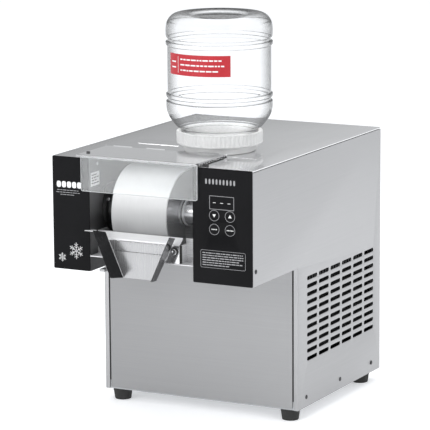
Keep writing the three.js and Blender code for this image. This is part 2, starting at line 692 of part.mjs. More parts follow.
// ---------------------------------------------------------------- drum, shaft and drive
const DRUM_AXIS = [0, DRUM_Y, DRUM_Z];
const shaftBore = SHAFT_RADIUS + GAP;
place(
  "drum_shell",
  turned("x", DRUM_AXIS, [
    [shaftBore, DRUM_LEFT],
    [DRUM_RADIUS - 0.8, DRUM_LEFT],
    [DRUM_RADIUS, DRUM_LEFT + 0.8],
    [DRUM_RADIUS, DRUM_RIGHT - 0.8],
    [DRUM_RADIUS - 0.8, DRUM_RIGHT],
    [shaftBore, DRUM_RIGHT],
    [shaftBore, DRUM_RIGHT - DRUM_WALL],
    [DRUM_RADIUS - DRUM_WALL, DRUM_RIGHT - DRUM_WALL],
    [DRUM_RADIUS - DRUM_WALL, DRUM_LEFT + DRUM_WALL],
    [shaftBore, DRUM_LEFT + DRUM_WALL],
  ], 48),
  FINISH.frosted(),
);

const SHAFT_LEFT_END = MOUTH_LEFT - 15;
const DRIVE_FACE = MOUTH_RIGHT + 19; // drive side face of the gearbox
const DRIVE_SHAFT_RADIUS = 8;
const DRIVE_SHAFT_REACH = 9; // into the gearbox
place(
  "drum_shaft",
  turned("x", DRUM_AXIS, [
    [0, SHAFT_LEFT_END],
    [SHAFT_RADIUS - 1, SHAFT_LEFT_END],
    [SHAFT_RADIUS, SHAFT_LEFT_END + 1],
    [SHAFT_RADIUS, DRUM_RIGHT + GAP],
    [SHAFT_RADIUS + 2, DRUM_RIGHT + GAP],
    [SHAFT_RADIUS + 2, DRUM_RIGHT + GAP + 1.4],
    [SHAFT_RADIUS, DRUM_RIGHT + GAP + 3],
    [SHAFT_RADIUS, MOUTH_RIGHT + 11],
    [DRIVE_SHAFT_RADIUS, MOUTH_RIGHT + 11],
    [DRIVE_SHAFT_RADIUS, DRIVE_FACE + DRIVE_SHAFT_REACH],
    [0, DRIVE_FACE + DRIVE_SHAFT_REACH],
  ], 32),
  FINISH.polished(),
);

const bearingBore = SHAFT_RADIUS + SHAFT_CLEARANCE;
place(
  "left_drum_bearing",
  turned("x", [MOUTH_LEFT, DRUM_Y, DRUM_Z], [
    [bearingBore, GAP],
    [BEARING_FLANGE_RADIUS, GAP],
    [BEARING_FLANGE_RADIUS, GAP + BEARING_FLANGE_THICKNESS - 1],
    [BEARING_FLANGE_RADIUS - 1, GAP + BEARING_FLANGE_THICKNESS],
    [SHAFT_RADIUS + 9, GAP + BEARING_FLANGE_THICKNESS],
    [SHAFT_RADIUS + 7, BEARING_FLANGE_THICKNESS + 9],
    [bearingBore, BEARING_FLANGE_THICKNESS + 9],
  ]),
  FINISH.blackPlastic(),
);
place(
  "right_drum_bearing",
  turned("x", [MOUTH_RIGHT + SHEET, DRUM_Y, DRUM_Z], [
    [bearingBore, GAP],
    [34, GAP],
    [34, 4],
    [27, 5],
    [27, 8.5],
    [bearingBore, 8.5],
  ]),
  FINISH.galvanised(),
);

// The rotary union feeds refrigerant into the turning shaft.
const UNION_FACE = MOUTH_LEFT - SHEET - GAP;
const UNION_LENGTH = 36;
place(
  "rotary_union",
  turned("x", [UNION_FACE, DRUM_Y, DRUM_Z], [
    [bearingBore, 0],
    [34, 0],
    [34, -4],
    [26, -5],
    [26, -26],
    [12, -30],
    [12, -UNION_LENGTH],
    [0, -UNION_LENGTH],
    [0, -17],
    [bearingBore, -17],
  ]),
  FINISH.galvanised(),
);

// Gear motor on a foot that stands on the right pod's floor.
const GEARBOX = { width: 34, halfDepth: 31, halfHeight: 38 };
const MOTOR_RADIUS = 26;
function gearMotor() {
  const far = DRIVE_FACE + GEARBOX.width;
  const mid = DRIVE_FACE + GEARBOX.width / 2;
  const floorZ = BASE_HEIGHT + SHEET + GAP;
  const box = prism(
    "x",
    roundedOutline(
      DRUM_Y - GEARBOX.halfDepth,
      DRUM_Z - GEARBOX.halfHeight,
      DRUM_Y + GEARBOX.halfDepth,
      DRUM_Z + GEARBOX.halfHeight,
      8,
    ),
    DRIVE_FACE,
    far,
  );
  const motor = bar("y", [mid, 0, DRUM_Z], MOTOR_RADIUS, DRUM_Y + GEARBOX.halfDepth - 1, DRUM_Y + 100);
  const legTop = DRUM_Z - GEARBOX.halfHeight + 2;
  const leg = block([mid - 11, DRUM_Y - 20, floorZ], [mid + 11, DRUM_Y + 20, legTop]);
  const foot = block([mid - 22, DRUM_Y - 28, floorZ], [mid + 22, DRUM_Y + 28, floorZ + 4]);
  const boreRadius = DRIVE_SHAFT_RADIUS + SHAFT_CLEARANCE;
  const bore = bar("x", DRUM_AXIS, boreRadius, DRIVE_FACE - 1, DRIVE_FACE + DRIVE_SHAFT_REACH + 2);
  return wasm.Manifold.union([box, motor, leg, foot]).subtract(bore);
}
place("gear_motor", gearMotor(), FINISH.blackPaint());

// ---------------------------------------------------------------- fascias, controls and buttons
place(
  "left_fascia",
  block([-SIDE, 0, BASE_HEIGHT], [MOUTH_LEFT, FASCIA_THICKNESS, TOP]),
  FINISH.gloss(),
);

const BUTTON_COLUMNS = [MOUTH_RIGHT + 37, MOUTH_RIGHT + 64];
const BUTTON_ROWS = { upper: BASE_HEIGHT + 107, lower: BASE_HEIGHT + 85.5 };
const BUTTONS = [
  ["down_button", BUTTON_COLUMNS[0], BUTTON_ROWS.upper],
  ["up_button", BUTTON_COLUMNS[1], BUTTON_ROWS.upper],
  ["mode_button", BUTTON_COLUMNS[0], BUTTON_ROWS.lower],
  ["power_button", BUTTON_COLUMNS[1], BUTTON_ROWS.lower],
];
const DISPLAY = {
  left: MOUTH_RIGHT + 29,
  right: MOUTH_RIGHT + 71,
  bottom: BASE_HEIGHT + 116.6,
  top: BASE_HEIGHT + 137.7,
};
function rightFascia() {
  const sheet = block([MOUTH_RIGHT, 0, BASE_HEIGHT], [SIDE, FASCIA_THICKNESS, TOP]);
  const holes = BUTTONS.map(([, x, z]) => bar("y", [x, 0, z], BUTTON_RADIUS, -1, FASCIA_THICKNESS + 1, 20));
  return sheet.subtract(wasm.Manifold.union(holes));
}
place("right_fascia", rightFascia(), FINISH.gloss());

const BUTTON_FLANGE = FASCIA_THICKNESS + GAP;
for (const [name, x, z] of BUTTONS)
  place(
    name,
    turned("y", [x, 0, z], [
      [0, 0],
      [BUTTON_RADIUS - BUTTON_CLEARANCE, 0],
      [BUTTON_RADIUS - BUTTON_CLEARANCE, BUTTON_FLANGE],
      [BUTTON_RADIUS + 0.9, BUTTON_FLANGE],
      [BUTTON_RADIUS + 0.9, BUTTON_FLANGE + 1.2],
      [3, BUTTON_FLANGE + 1.2],
      [3, BUTTON_FLANGE + 6],
      [0, BUTTON_FLANGE + 6],
    ], 20),
    FINISH.gloss(),
  );

// The control board carries the display block, one switch under each button, and its larger parts behind.
const BOARD_FRONT = BUTTON_FLANGE + 6 + BUTTON_TRAVEL + 3.4;
const BOARD_THICKNESS = 1.6;
function controlBoard() {
  const margin = 9;
  const back = BOARD_FRONT + BOARD_THICKNESS;
  const board = block(
    [DISPLAY.left - margin, BOARD_FRONT, BUTTON_ROWS.lower - 20],
    [DISPLAY.right + margin, back, DISPLAY.top + margin],
  );
  const display = block(
    [DISPLAY.left + 3, FASCIA_THICKNESS + GAP, DISPLAY.bottom + 3],
    [DISPLAY.right - 3, BOARD_FRONT + 0.5, DISPLAY.top - 3],
  );
  const switches = BUTTONS.map(([, x, z]) =>
    block([x - 3, BOARD_FRONT - 2.6, z - 3], [x + 3, BOARD_FRONT + 0.5, z + 3]),
  );
  const relay = block(
    [DISPLAY.left, back - 0.5, DISPLAY.bottom],
    [DISPLAY.left + 18, back + 14, DISPLAY.bottom + 15],
  );
  const plug = block(
    [DISPLAY.right - 20, back - 0.5, BUTTON_ROWS.lower - 16],
    [DISPLAY.right - 2, back + 9, BUTTON_ROWS.lower - 8],
  );
  const capacitor = bar("y", [DISPLAY.right - 8, 0, DISPLAY.bottom + 8], 6, back - 0.5, back + 16, 16);
  return wasm.Manifold.union([board, display, ...switches, relay, plug, capacitor]);
}
place("control_board", controlBoard(), FINISH.board());

// ---------------------------------------------------------------- lid and clear guard
function lid() {
  const front = -LID_SHEET;
  const shell = block([LID_LEFT, front, TOP + 0.4], [LID_RIGHT, LID_DEPTH, TOP + LID_RISE]);
  const hollow = block(
    [LID_LEFT + LID_SHEET, front + LID_SHEET, TOP - 1],
    [LID_RIGHT - LID_SHEET, LID_DEPTH + 1, TOP + LID_RISE - LID_SHEET],
  );
  const sleeveLength = 34;
  const sleeveInset = 12;
  const sleeveAt = [
    LID_LEFT + sleeveInset,
    (LID_LEFT + LID_RIGHT) / 2 - sleeveLength,
    LID_RIGHT - sleeveInset - sleeveLength,
  ];
  const sleeves = sleeveAt.map((x) =>
    bar("x", [0, HINGE_Y, HINGE_Z], HINGE_BARREL_RADIUS, x, x + sleeveLength, 16),
  );
  const pinRoom = bar(
    "x",
    [0, HINGE_Y, HINGE_Z],
    HINGE_PIN_RADIUS + HINGE_CLEARANCE,
    LID_LEFT - 1,
    LID_RIGHT + 1,
    16,
  );
  return wasm.Manifold.union([shell.subtract(hollow), ...sleeves]).subtract(pinRoom);
}
place("lid", lid(), FINISH.steel());

function lidHinge() {
  const earThickness = 3;
  const ear = (x0) =>
    prism(
      "x",
      [
        [HINGE_Y - HINGE_BARREL_RADIUS, TOP + GAP],
        [HINGE_Y + HINGE_BARREL_RADIUS, TOP + GAP],
        [HINGE_Y + HINGE_BARREL_RADIUS, HINGE_Z + 1],
        [HINGE_Y + 1, HINGE_Z + HINGE_BARREL_RADIUS],
        [HINGE_Y - 1, HINGE_Z + HINGE_BARREL_RADIUS],
        [HINGE_Y - HINGE_BARREL_RADIUS, HINGE_Z + 1],
      ],
      x0,
      x0 + earThickness,
    );
  const pin = bar("x", [0, HINGE_Y, HINGE_Z], HINGE_PIN_RADIUS, LID_LEFT - 2, LID_RIGHT + 2, 16);
  return wasm.Manifold.union([pin, ear(LID_LEFT - GAP - earThickness), ear(LID_RIGHT + GAP)]);
}
place("lid_hinge", lidHinge(), FINISH.polished());

// The guard hangs from the front of the lid, in front of the fascias.
const GUARD_BACK = -LID_SHEET - GAP;
place(
  "splash_guard",
  prism(
    "y",
    roundedOutline(
      TOP - GUARD_DROP,
      MOUTH_LEFT - GUARD_LEFT_LAP,
      TOP + LID_RISE - GAP,
      MOUTH_RIGHT + GUARD_RIGHT_LAP,
      GUARD_CORNER,
    ),
    GUARD_BACK - GUARD_THICKNESS,
    GUARD_BACK,
  ),
  FINISH.clear(),
);

// ---------------------------------------------------------------- snow chute
// A tapering back plate with two wings that lean outward as they come forward.
const CHUTE_TOP = BLADE_EDGE_Z + 1.5;
const CHUTE_BOTTOM = BOWL_SPACE_TOP;
const CHUTE_TOP_LEFT = DRUM_LEFT - CHUTE_PAST_DRUM.left;
const CHUTE_TOP_RIGHT = DRUM_RIGHT + CHUTE_PAST_DRUM.right;
const CHUTE_BACK = -0.4;
function chute() {
  const leftAt = (z) => CHUTE_TOP_LEFT + (CHUTE_TOP - z) * CHUTE_SLOPE.left;
  const rightAt = (z) => CHUTE_TOP_RIGHT - (CHUTE_TOP - z) * CHUTE_SLOPE.right;
  const plateTop = BLADE_TOE_Z - BLADE_THICKNESS;
  const plate = prism(
    "y",
    [
      [CHUTE_BOTTOM, leftAt(CHUTE_BOTTOM)],
      [CHUTE_BOTTOM, rightAt(CHUTE_BOTTOM)],
      [plateTop, rightAt(plateTop)],
      [plateTop, leftAt(plateTop)],
    ],
    CHUTE_BACK - CHUTE_SHEET,
    CHUTE_BACK,
  );
  // inward is the direction from the wing towards the middle of the chute
  const wing = (edgeAt, inward) => {
    const corners = (z, rise, lean, y) => {
      const outer = edgeAt(z) - inward * lean;
      const inner = outer + inward * CHUTE_SHEET;
      return [Math.min(outer, inner), Math.max(outer, inner)].map((x) => [x, y, z + rise]);
    };
    const ring = (z, rise, lean) => {
      const [frontLeft, frontRight] = corners(z, rise, lean, CHUTE_BACK - CHUTE_REACH);
      const [backLeft, backRight] = corners(z, 0, 0, CHUTE_BACK);
      return [frontLeft, frontRight, backRight, backLeft];
    };
    return sixFaced(
      ring(CHUTE_BOTTOM, WING_RISE.bottom, WING_LEAN.bottom),
      ring(CHUTE_TOP, WING_RISE.top, WING_LEAN.top),
    );
  };
  const lipZ = CHUTE_TOP + 5;
  const lip = block(
    [CHUTE_TOP_LEFT - 21, CHUTE_BACK - CHUTE_REACH, lipZ],
    [CHUTE_TOP_LEFT - 4.4, CHUTE_BACK - CHUTE_REACH + 10, lipZ + 1],
  );
  return wasm.Manifold.union([plate, wing(leftAt, 1), wing(rightAt, -1), lip]);
}
place("snow_chute", chute(), FINISH.polished());

// ---------------------------------------------------------------- bottle
const bottleAt = [BOTTLE_X, BOTTLE_Y, BOTTLE_Z];
const inset = (profile, wall) => profile.map(([r, h]) => [Math.max(r - wall, 0), h]);
const BOTTLE_BODY_RADIUS = BOTTLE_RADIUS - 2.5;
const RIM_TOP = BOTTLE_HEIGHT;
// The bottle's outside from its neck to its upturned base. It is built as three lengths of one shell that
// meet face to face: the shoulder with the neck, the body, and the base.
const SHOULDER_TOP = 60;
const BASE_START = 201;
function bottleWall() {
  return [
    [NECK_RADIUS, NECK_BOTTOM],
    [NECK_RADIUS, CAP_TOP + 1],
    [NECK_RADIUS + 4, CAP_TOP + 3.5],
    [BOTTLE_RADIUS - 9, 48],
    [BOTTLE_RADIUS - 2, SHOULDER_TOP],
    [BOTTLE_RADIUS - 0.2, 70],
    [BOTTLE_RADIUS - 1, 78],
    [BOTTLE_BODY_RADIUS, 83.4],
    [BOTTLE_RADIUS - 0.5, 91],
    [BOTTLE_BODY_RADIUS, 99],
    [BOTTLE_BODY_RADIUS, 163],
    [BOTTLE_RADIUS - 0.1, 171.6],
    [BOTTLE_BODY_RADIUS, 177.5],
    [BOTTLE_RADIUS, 191],
    [BOTTLE_RADIUS - 1.5, BASE_START],
    [BOTTLE_RADIUS - 7, RIM_TOP - 8],
    [BOTTLE_RADIUS - 14, RIM_TOP - 2],
  ];
}
function bottleSleeve(from, to) {
  const wall = bottleWall().filter(([, h]) => h >= from && h <= to);
  return turned("z", bottleAt, [...wall, ...inset(wall, BOTTLE_WALL).reverse()], 32);
}
function bottleBase() {
  const wall = bottleWall().filter(([, h]) => h >= BASE_START);
  const recess = RIM_TOP - BOTTLE_RECESS;
  const outside = [...wall, [BOTTLE_RADIUS - 22, RIM_TOP], [46, RIM_TOP - 2], [41, recess], [0, recess]];
  const inside = [
    [0, recess - BOTTLE_WALL],
    [BOTTLE_RADIUS - 23, recess - BOTTLE_WALL],
    ...inset(wall, BOTTLE_WALL).slice(0, -1).reverse(),
  ];
  return turned("z", bottleAt, [...outside, ...inside], 32);
}
place("bottle_shoulder", bottleSleeve(NECK_BOTTOM, SHOULDER_TOP), FINISH.clear());
place("bottle", bottleSleeve(SHOULDER_TOP, BASE_START), FINISH.clear());
place("bottle_base", bottleBase(), FINISH.clear());

const CAP_BORE = VALVE_STEM_RADIUS + 0.5;
place(
  "bottle_cap",
  turned("z", bottleAt, [
    [CAP_BORE, 0],
    [CAP_FOOT_RADIUS, 0],
    [CAP_FOOT_RADIUS, 10],
    [CAP_RADIUS, 12.4],
    [CAP_RADIUS, CAP_TOP],
    [NECK_RADIUS + GAP, CAP_TOP],
    [NECK_RADIUS + GAP, NECK_BOTTOM - GAP],
    [CAP_BORE, NECK_BOTTOM - GAP],
  ], 32),
  FINISH.milky(),
);

place(
  "cap_valve",
  turned("z", bottleAt, [
    [0, VALVE_BOTTOM],
    [VALVE_STEM_RADIUS, VALVE_BOTTOM],
    [VALVE_STEM_RADIUS, NECK_BOTTOM],
    [VALVE_STEM_RADIUS + 7, NECK_BOTTOM],
    [VALVE_STEM_RADIUS + 7, NECK_BOTTOM + 3],
    [0, NECK_BOTTOM + 3],
  ], 24),
  FINISH.milky(),
);

const LABEL = { bottom: 126.7, height: 33, halfAngle: THREE.MathUtils.degToRad(39.3), thickness: 0.5 };
function label() {
  const inner = BOTTLE_BODY_RADIUS + GAP;
  const outer = inner + LABEL.thickness;
  const shape = new THREE.Shape();
  const [start, end] = [-Math.PI / 2 - LABEL.halfAngle, -Math.PI / 2 + LABEL.halfAngle];
  shape.absarc(0, 0, outer, start, end, false);
  shape.absarc(0, 0, inner, end, start, true);
  const geometry = new THREE.ExtrudeGeometry(shape, {
    depth: LABEL.height,
    bevelEnabled: false,
    curveSegments: 12,
  });
  geometry.translate(BOTTLE_X, BOTTLE_Y, BOTTLE_Z + LABEL.bottom);
  return toSolid(geometry);
}
place("bottle_label", label(), FINISH.red());

// ---------------------------------------------------------------- refrigeration in the base
const BASE_MID_Y = (OVERHANG + DEPTH) / 2;
const CONDENSER = {
  outer: SIDE - 15,
  thickness: 22,
  halfDepth: 130,
  bottom: 26,
  top: BASE_HEIGHT - 18,
};
const CONDENSER_INNER = CONDENSER.outer - CONDENSER.thickness;
const FAN_Z = (CONDENSER.bottom + CONDENSER.top) / 2;
const FAN_RADIUS = CONDENSER.top - FAN_Z - FAN_BELOW_CONDENSER_TOP;
const FAN_AXIS = [0, BASE_MID_Y, FAN_Z];
const SHROUD_THICKNESS = 16;
const SHROUD_OUTER = CONDENSER_INNER - GAP;
const SHROUD_INNER = SHROUD_OUTER - SHROUD_THICKNESS;
const trayFloor = SHEET + GAP;

// The condenser stands on two end plates, with deep grooves between its groups of fins.
function condenser() {
  const [front, rear] = [BASE_MID_Y - CONDENSER.halfDepth, BASE_MID_Y + CONDENSER.halfDepth];
  const core = block([CONDENSER_INNER, front, CONDENSER.bottom], [CONDENSER.outer, rear, CONDENSER.top]);
  const legs = [front, rear - 3].map((y) =>
    block([CONDENSER_INNER, y, trayFloor], [CONDENSER.outer, y + 3, CONDENSER.bottom + 1]),
  );
  const grooves = [];
  const groove = { pitch: 10, width: 5, depth: 6, margin: 6 };
  for (let y = front + 8; y < rear - 8; y += groove.pitch)
    grooves.push(
      block(
        [CONDENSER.outer - groove.depth, y, CONDENSER.bottom + groove.margin],
        [CONDENSER.outer + 1, y + groove.width, CONDENSER.top - groove.margin],
      ),
    );
  return wasm.Manifold.union([core, ...legs]).subtract(wasm.Manifold.union(grooves));
}
place("condenser", condenser(), FINISH.fins());

function fanShroud() {
  const half = FAN_RADIUS + FAN_CLEARANCE + 6;
  const frame = block(
    [SHROUD_INNER, BASE_MID_Y - half, trayFloor],
    [SHROUD_OUTER, BASE_MID_Y + half, FAN_Z + half],
  );
  const throat = bar("x", FAN_AXIS, FAN_RADIUS + FAN_CLEARANCE, SHROUD_INNER - 1, SHROUD_OUTER + 1, 32);
  return frame.subtract(throat);
}
place("fan_shroud", fanShroud(), FINISH.blackPlastic());

const FAN_HUB_RADIUS = 20;
const FAN_SHAFT_RADIUS = 3;
const FAN_MID = (SHROUD_INNER + SHROUD_OUTER) / 2;
const FAN_BLADE_PITCH = 16; // degrees
const MOTOR_FRONT = SHROUD_INNER - 8;
const FAN_MOTOR = { radius: 27, length: 38 };
function fanBlades() {
  const hub = bar("x", FAN_AXIS, FAN_HUB_RADIUS, FAN_MID - 6, FAN_MID + 6, 24);
  const shaft = bar("x", FAN_AXIS, FAN_SHAFT_RADIUS, MOTOR_FRONT - 12, FAN_MID, 12);
  const bladeCount = 5;
  const blades = [];
  for (let i = 0; i < bladeCount; i++) {
    const geometry = new THREE.BoxGeometry(1.6, 44, FAN_RADIUS - FAN_HUB_RADIUS + 4);
    geometry.rotateZ(THREE.MathUtils.degToRad(FAN_BLADE_PITCH));
    geometry.translate(0, 0, (FAN_RADIUS + FAN_HUB_RADIUS - 4) / 2 - 4);
    geometry.rotateX((i / bladeCount) * Math.PI * 2);
    geometry.translate(FAN_MID, BASE_MID_Y, FAN_Z);
    blades.push(toSolid(geometry));
  }
  return wasm.Manifold.union([hub, shaft, ...blades]);
}
place("fan_blades", fanBlades(), FINISH.blackPlastic());

// The fan motor hangs on three arms from the shroud.
function fanMotor() {
  const body = bar("x", FAN_AXIS, FAN_MOTOR.radius, MOTOR_FRONT - FAN_MOTOR.length, MOTOR_FRONT, 24);
  const armLength = FAN_RADIUS + FAN_CLEARANCE + 4;
  const arms = [90, 210, 330].map((degrees) => {
    const spoke = new THREE.BoxGeometry(3, 9, armLength);
    spoke.translate(MOTOR_FRONT - 5, 0, armLength / 2);
    const pad = new THREE.BoxGeometry(SHROUD_INNER - GAP - MOTOR_FRONT + 6.5, 9, 3);
    pad.translate((SHROUD_INNER - GAP + MOTOR_FRONT - 6.5) / 2, 0, armLength - 1.5);
    return [spoke, pad].map((geometry) => {
      geometry.rotateX(THREE.MathUtils.degToRad(degrees - 90));
      geometry.translate(0, BASE_MID_Y, FAN_Z);
      return toSolid(geometry);
    });
  });
  const bore = bar("x", FAN_AXIS, FAN_SHAFT_RADIUS + SHAFT_CLEARANCE, MOTOR_FRONT - 14, MOTOR_FRONT + 1, 12);
  return wasm.Manifold.union([body, ...arms.flat()]).subtract(bore);
}
place("fan_motor", fanMotor(), FINISH.blackPaint());

// Hermetic compressor on a three-cornered plate.
const COMPRESSOR = { x: -SIDE + 95, y: DEPTH - 95, bottom: trayFloor + 8, height: 148 };
function compressor() {
  const { x, y, bottom, height } = COMPRESSOR;
  const r = COMPRESSOR_RADIUS;
  const can = turned("z", [x, y, bottom], [
    [0, 0],
    [r * 0.7, 0],
    [r * 0.93, 10],
    [r, 28],
    [r, height * 0.5],
    [r + 2, height * 0.5 + 1],
    [r + 2, height * 0.5 + 5],
    [r, height * 0.5 + 6],
    [r * 0.97, height - 34],
    [r * 0.75, height - 10],
    [r * 0.35, height],
    [0, height],
  ]);
  const plate = block([x - r - 6, y - r - 6, bottom - 4], [x + r + 6, y + r + 6, bottom + 1]);
  const bushes = [-1, 1].flatMap((i) =>
    [-1, 1].map((j) => bar("z", [x + i * (r - 2), y + j * (r - 2), 0], 8, trayFloor, bottom - 3, 16)),
  );
  const terminals = block([x + r * 0.75, y - 18, bottom + 58], [x + r + 14, y + 18, bottom + 96]);
  return wasm.Manifold.union([can, plate, ...bushes, terminals]);
}
place("compressor", compressor(), FINISH.blackPaint());

// Refrigerant lines: the hot one to the condenser, the cold one up beside the rotary union.
const compressorTop = COMPRESSOR.bottom + COMPRESSOR.height;
const dischargeY = COMPRESSOR.y - COMPRESSOR_RADIUS - 24; // where the hot line turns up
place(
  "discharge_pipe",
  pipe(
    [
      [COMPRESSOR.x, COMPRESSOR.y - COMPRESSOR_RADIUS - 3.5 - PIPE_RADIUS, COMPRESSOR.bottom + 40],
      [COMPRESSOR.x, dischargeY, COMPRESSOR.bottom + 42],
      [COMPRESSOR.x + 6, dischargeY - 10, compressorTop + 6],
      [COMPRESSOR.x + 30, dischargeY - 4, compressorTop + 26],
      [0, BASE_MID_Y - 20, BASE_HEIGHT - 14],
      [SHROUD_INNER - 40, BASE_MID_Y, BASE_HEIGHT - 12],
      [CONDENSER_INNER - 8, BASE_MID_Y, BASE_HEIGHT - 11],
      [CONDENSER.outer - 8, BASE_MID_Y, BASE_HEIGHT - 11],
    ],
    PIPE_RADIUS,
    36,
  ),
  FINISH.copper(),
);

// The cold line leaves the rotary union, turns back over the deck and ends at its gland there.
const unionEnd = UNION_FACE - UNION_LENGTH;
place(
  "suction_pipe",
  pipe(
    [
      [unionEnd - PIPE_END_GAP, DRUM_Y, DRUM_Z],
      [unionEnd - 8, DRUM_Y, DRUM_Z],
      [unionEnd - 12, DRUM_Y + 26, DRUM_Z - 4],
      [unionEnd - 10, DRUM_Y + 90, DRUM_Z - 18],
      [unionEnd - 2, CHAMBER_BACK + 30, DRUM_Z - 40],
      [unionEnd + 12, CHAMBER_BACK + 70, BASE_HEIGHT + 30],
      [unionEnd + 20, CHAMBER_BACK + 86, BASE_HEIGHT + 14],
      [unionEnd + 20, CHAMBER_BACK + 86, DECK_TOP + PIPE_END_GAP],
    ],
    PIPE_RADIUS,
    36,
  ),
  FINISH.copper(),
);

// ---------------------------------------------------------------- feet

const FOOT_Y = { front: OVERHANG + FOOT_INSET_FRONT, rear: DEPTH - FOOT_INSET_REAR };
for (const [side, outward] of [["left", -1], ["right", 1]])
  for (const end of ["front", "rear"])
    place(
      `${end}_${side}_foot`,
      turned("z", [outward * (SIDE - FOOT_INSET_X), FOOT_Y[end], -FOOT_HEIGHT], [
        [0, 0],
        [FOOT_BOTTOM_RADIUS - 1, 0],
        [FOOT_BOTTOM_RADIUS, 1],
        [FOOT_TOP_RADIUS, FOOT_HEIGHT - 2],
        [FOOT_TOP_RADIUS, FOOT_HEIGHT - GAP],
        [0, FOOT_HEIGHT - GAP],
      ], 20),
      FINISH.rubber(),
    );

// ---------------------------------------------------------------- the part's own frame
// The origin is on the surface that the feet stand on, at the middle of the outline seen from above.
const FRONTMOST = CHUTE_BACK - CHUTE_REACH;
machine.position.set(0, -(FRONTMOST + DEPTH) / 2, FOOT_HEIGHT);
const part = new THREE.Group();
part.add(machine);
export default part;
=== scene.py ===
"""Looks of a countertop shaved ice machine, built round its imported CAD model. Metres, +Z up."""
import math
import random

import bmesh
import bpy
from mathutils import Matrix, Vector

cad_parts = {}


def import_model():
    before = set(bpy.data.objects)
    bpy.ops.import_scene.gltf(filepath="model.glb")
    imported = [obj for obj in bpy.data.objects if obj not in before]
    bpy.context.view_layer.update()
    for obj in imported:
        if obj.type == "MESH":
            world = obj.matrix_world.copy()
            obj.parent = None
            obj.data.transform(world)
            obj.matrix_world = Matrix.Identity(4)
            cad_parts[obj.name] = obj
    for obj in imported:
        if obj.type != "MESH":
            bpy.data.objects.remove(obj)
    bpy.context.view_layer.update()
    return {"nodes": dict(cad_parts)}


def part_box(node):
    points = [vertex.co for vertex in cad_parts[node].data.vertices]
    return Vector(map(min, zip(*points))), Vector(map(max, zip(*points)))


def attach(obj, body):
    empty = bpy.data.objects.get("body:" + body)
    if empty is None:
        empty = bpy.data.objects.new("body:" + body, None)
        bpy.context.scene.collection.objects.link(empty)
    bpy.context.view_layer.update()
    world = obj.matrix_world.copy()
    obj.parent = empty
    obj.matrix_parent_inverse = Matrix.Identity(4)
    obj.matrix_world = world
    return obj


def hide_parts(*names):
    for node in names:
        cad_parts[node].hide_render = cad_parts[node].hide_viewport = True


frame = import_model()

MM = 0.001

# ------------------------------------------------------------------ places, all read from the frame
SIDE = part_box("top_cover")[1].x
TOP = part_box("top_cover")[1].z
SHELL_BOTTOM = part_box("rear_panel")[0].z
HEAD_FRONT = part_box("right_fascia")[0].y
HEAD_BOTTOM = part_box("right_fascia")[0].z
BASE_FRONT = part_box("base_front_panel")[0].y
MOUTH_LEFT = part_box("left_fascia")[1].x
MOUTH_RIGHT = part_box("right_fascia")[0].x
SHEET = 1.5 * MM


def middle(node):
    low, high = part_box(node)
    return (low + high) / 2


DRUM = middle("drum_shell")
BOTTLE = middle("bottle")
BOTTLE_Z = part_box("bottle_cap")[0].z


# ------------------------------------------------------------------ materials
def add_node(tree, kind, settings=None, **inputs):
    node = tree.nodes.new(kind)
    for name, value in (settings or {}).items():
        setattr(node, name, value)
    for name, value in inputs.items():
        node.inputs[name].default_value = value
    return node


def stretched_noise(tree, scale, detail=4.0, roughness=0.6):
    """Noise in the object's own metres, with a scale for each axis. Returns its 0-to-1 output."""
    place = add_node(tree, "ShaderNodeTexCoord")
    mapping = add_node(tree, "ShaderNodeMapping", Scale=scale)
    texture = add_node(tree, "ShaderNodeTexNoise", Scale=1.0, Detail=detail, Roughness=roughness)
    tree.links.new(place.outputs["Object"], mapping.inputs["Vector"])
    tree.links.new(mapping.outputs["Vector"], texture.inputs["Vector"])
    return texture.outputs["Fac"]


def scaled(tree, value, low, high, start=0.3, end=0.7):
    node = add_node(
        tree, "ShaderNodeMapRange", **{"From Min": start, "From Max": end, "To Min": low, "To Max": high}
    )
    tree.links.new(value, node.inputs["Value"])
    return node.outputs["Result"]


def mixed_value(tree, first, second, share):
    node = add_node(tree, "ShaderNodeMix", {"data_type": "FLOAT"}, Factor=share)
    tree.links.new(first, node.inputs[2])
    tree.links.new(second, node.inputs[3])
    return node.outputs[0]


def mixed_colour(tree, value, first, second):
    node = add_node(tree, "ShaderNodeMix", {"data_type": "RGBA"})
    node.inputs[6].default_value = (*first, 1)
    node.inputs[7].default_value = (*second, 1)
    tree.links.new(value, node.inputs[0])
    return node.outputs[2]


def shaded_along(tree, colour, axis, start, end, factor):
    """Painted light and shade: the colour darkened or lightened by a factor that grows along an axis between
    two places.
    """
    place = add_node(tree, "ShaderNodeTexCoord")
    apart = add_node(tree, "ShaderNodeSeparateXYZ")
    ramp = add_node(
        tree, "ShaderNodeMapRange", **{"From Min": start, "From Max": end, "To Min": 1.0, "To Max": factor}
    )
    tint = add_node(tree, "ShaderNodeVectorMath", {"operation": "SCALE"})
    tree.links.new(place.outputs["Object"], apart.inputs[0])
    tree.links.new(apart.outputs[axis.upper()], ramp.inputs["Value"])
    tree.links.new(colour, tint.inputs[0])
    tree.links.new(ramp.outputs["Result"], tint.inputs["Scale"])
    return tint.outputs["Vector"]


def painted_dark_rim(tree, colour, rim, start=0.38, end=0.9):
    """Painted reflection: the colour turned towards a darker one where the surface is seen edge on, standing
    in for the dark edges that a clear shell refracts and reflects.
    """
    weight = add_node(tree, "ShaderNodeLayerWeight", Blend=0.5)
    ramp = add_node(tree, "ShaderNodeMapRange", **{"From Min": start, "From Max": end})
    blend = add_node(tree, "ShaderNodeMix", {"data_type": "RGBA"})
    blend.inputs[7].default_value = (*rim, 1)
    tree.links.new(weight.outputs["Facing"], ramp.inputs["Value"])
    tree.links.new(ramp.outputs["Result"], blend.inputs[0])
    tree.links.new(colour, blend.inputs[6])
    return blend.outputs[2]


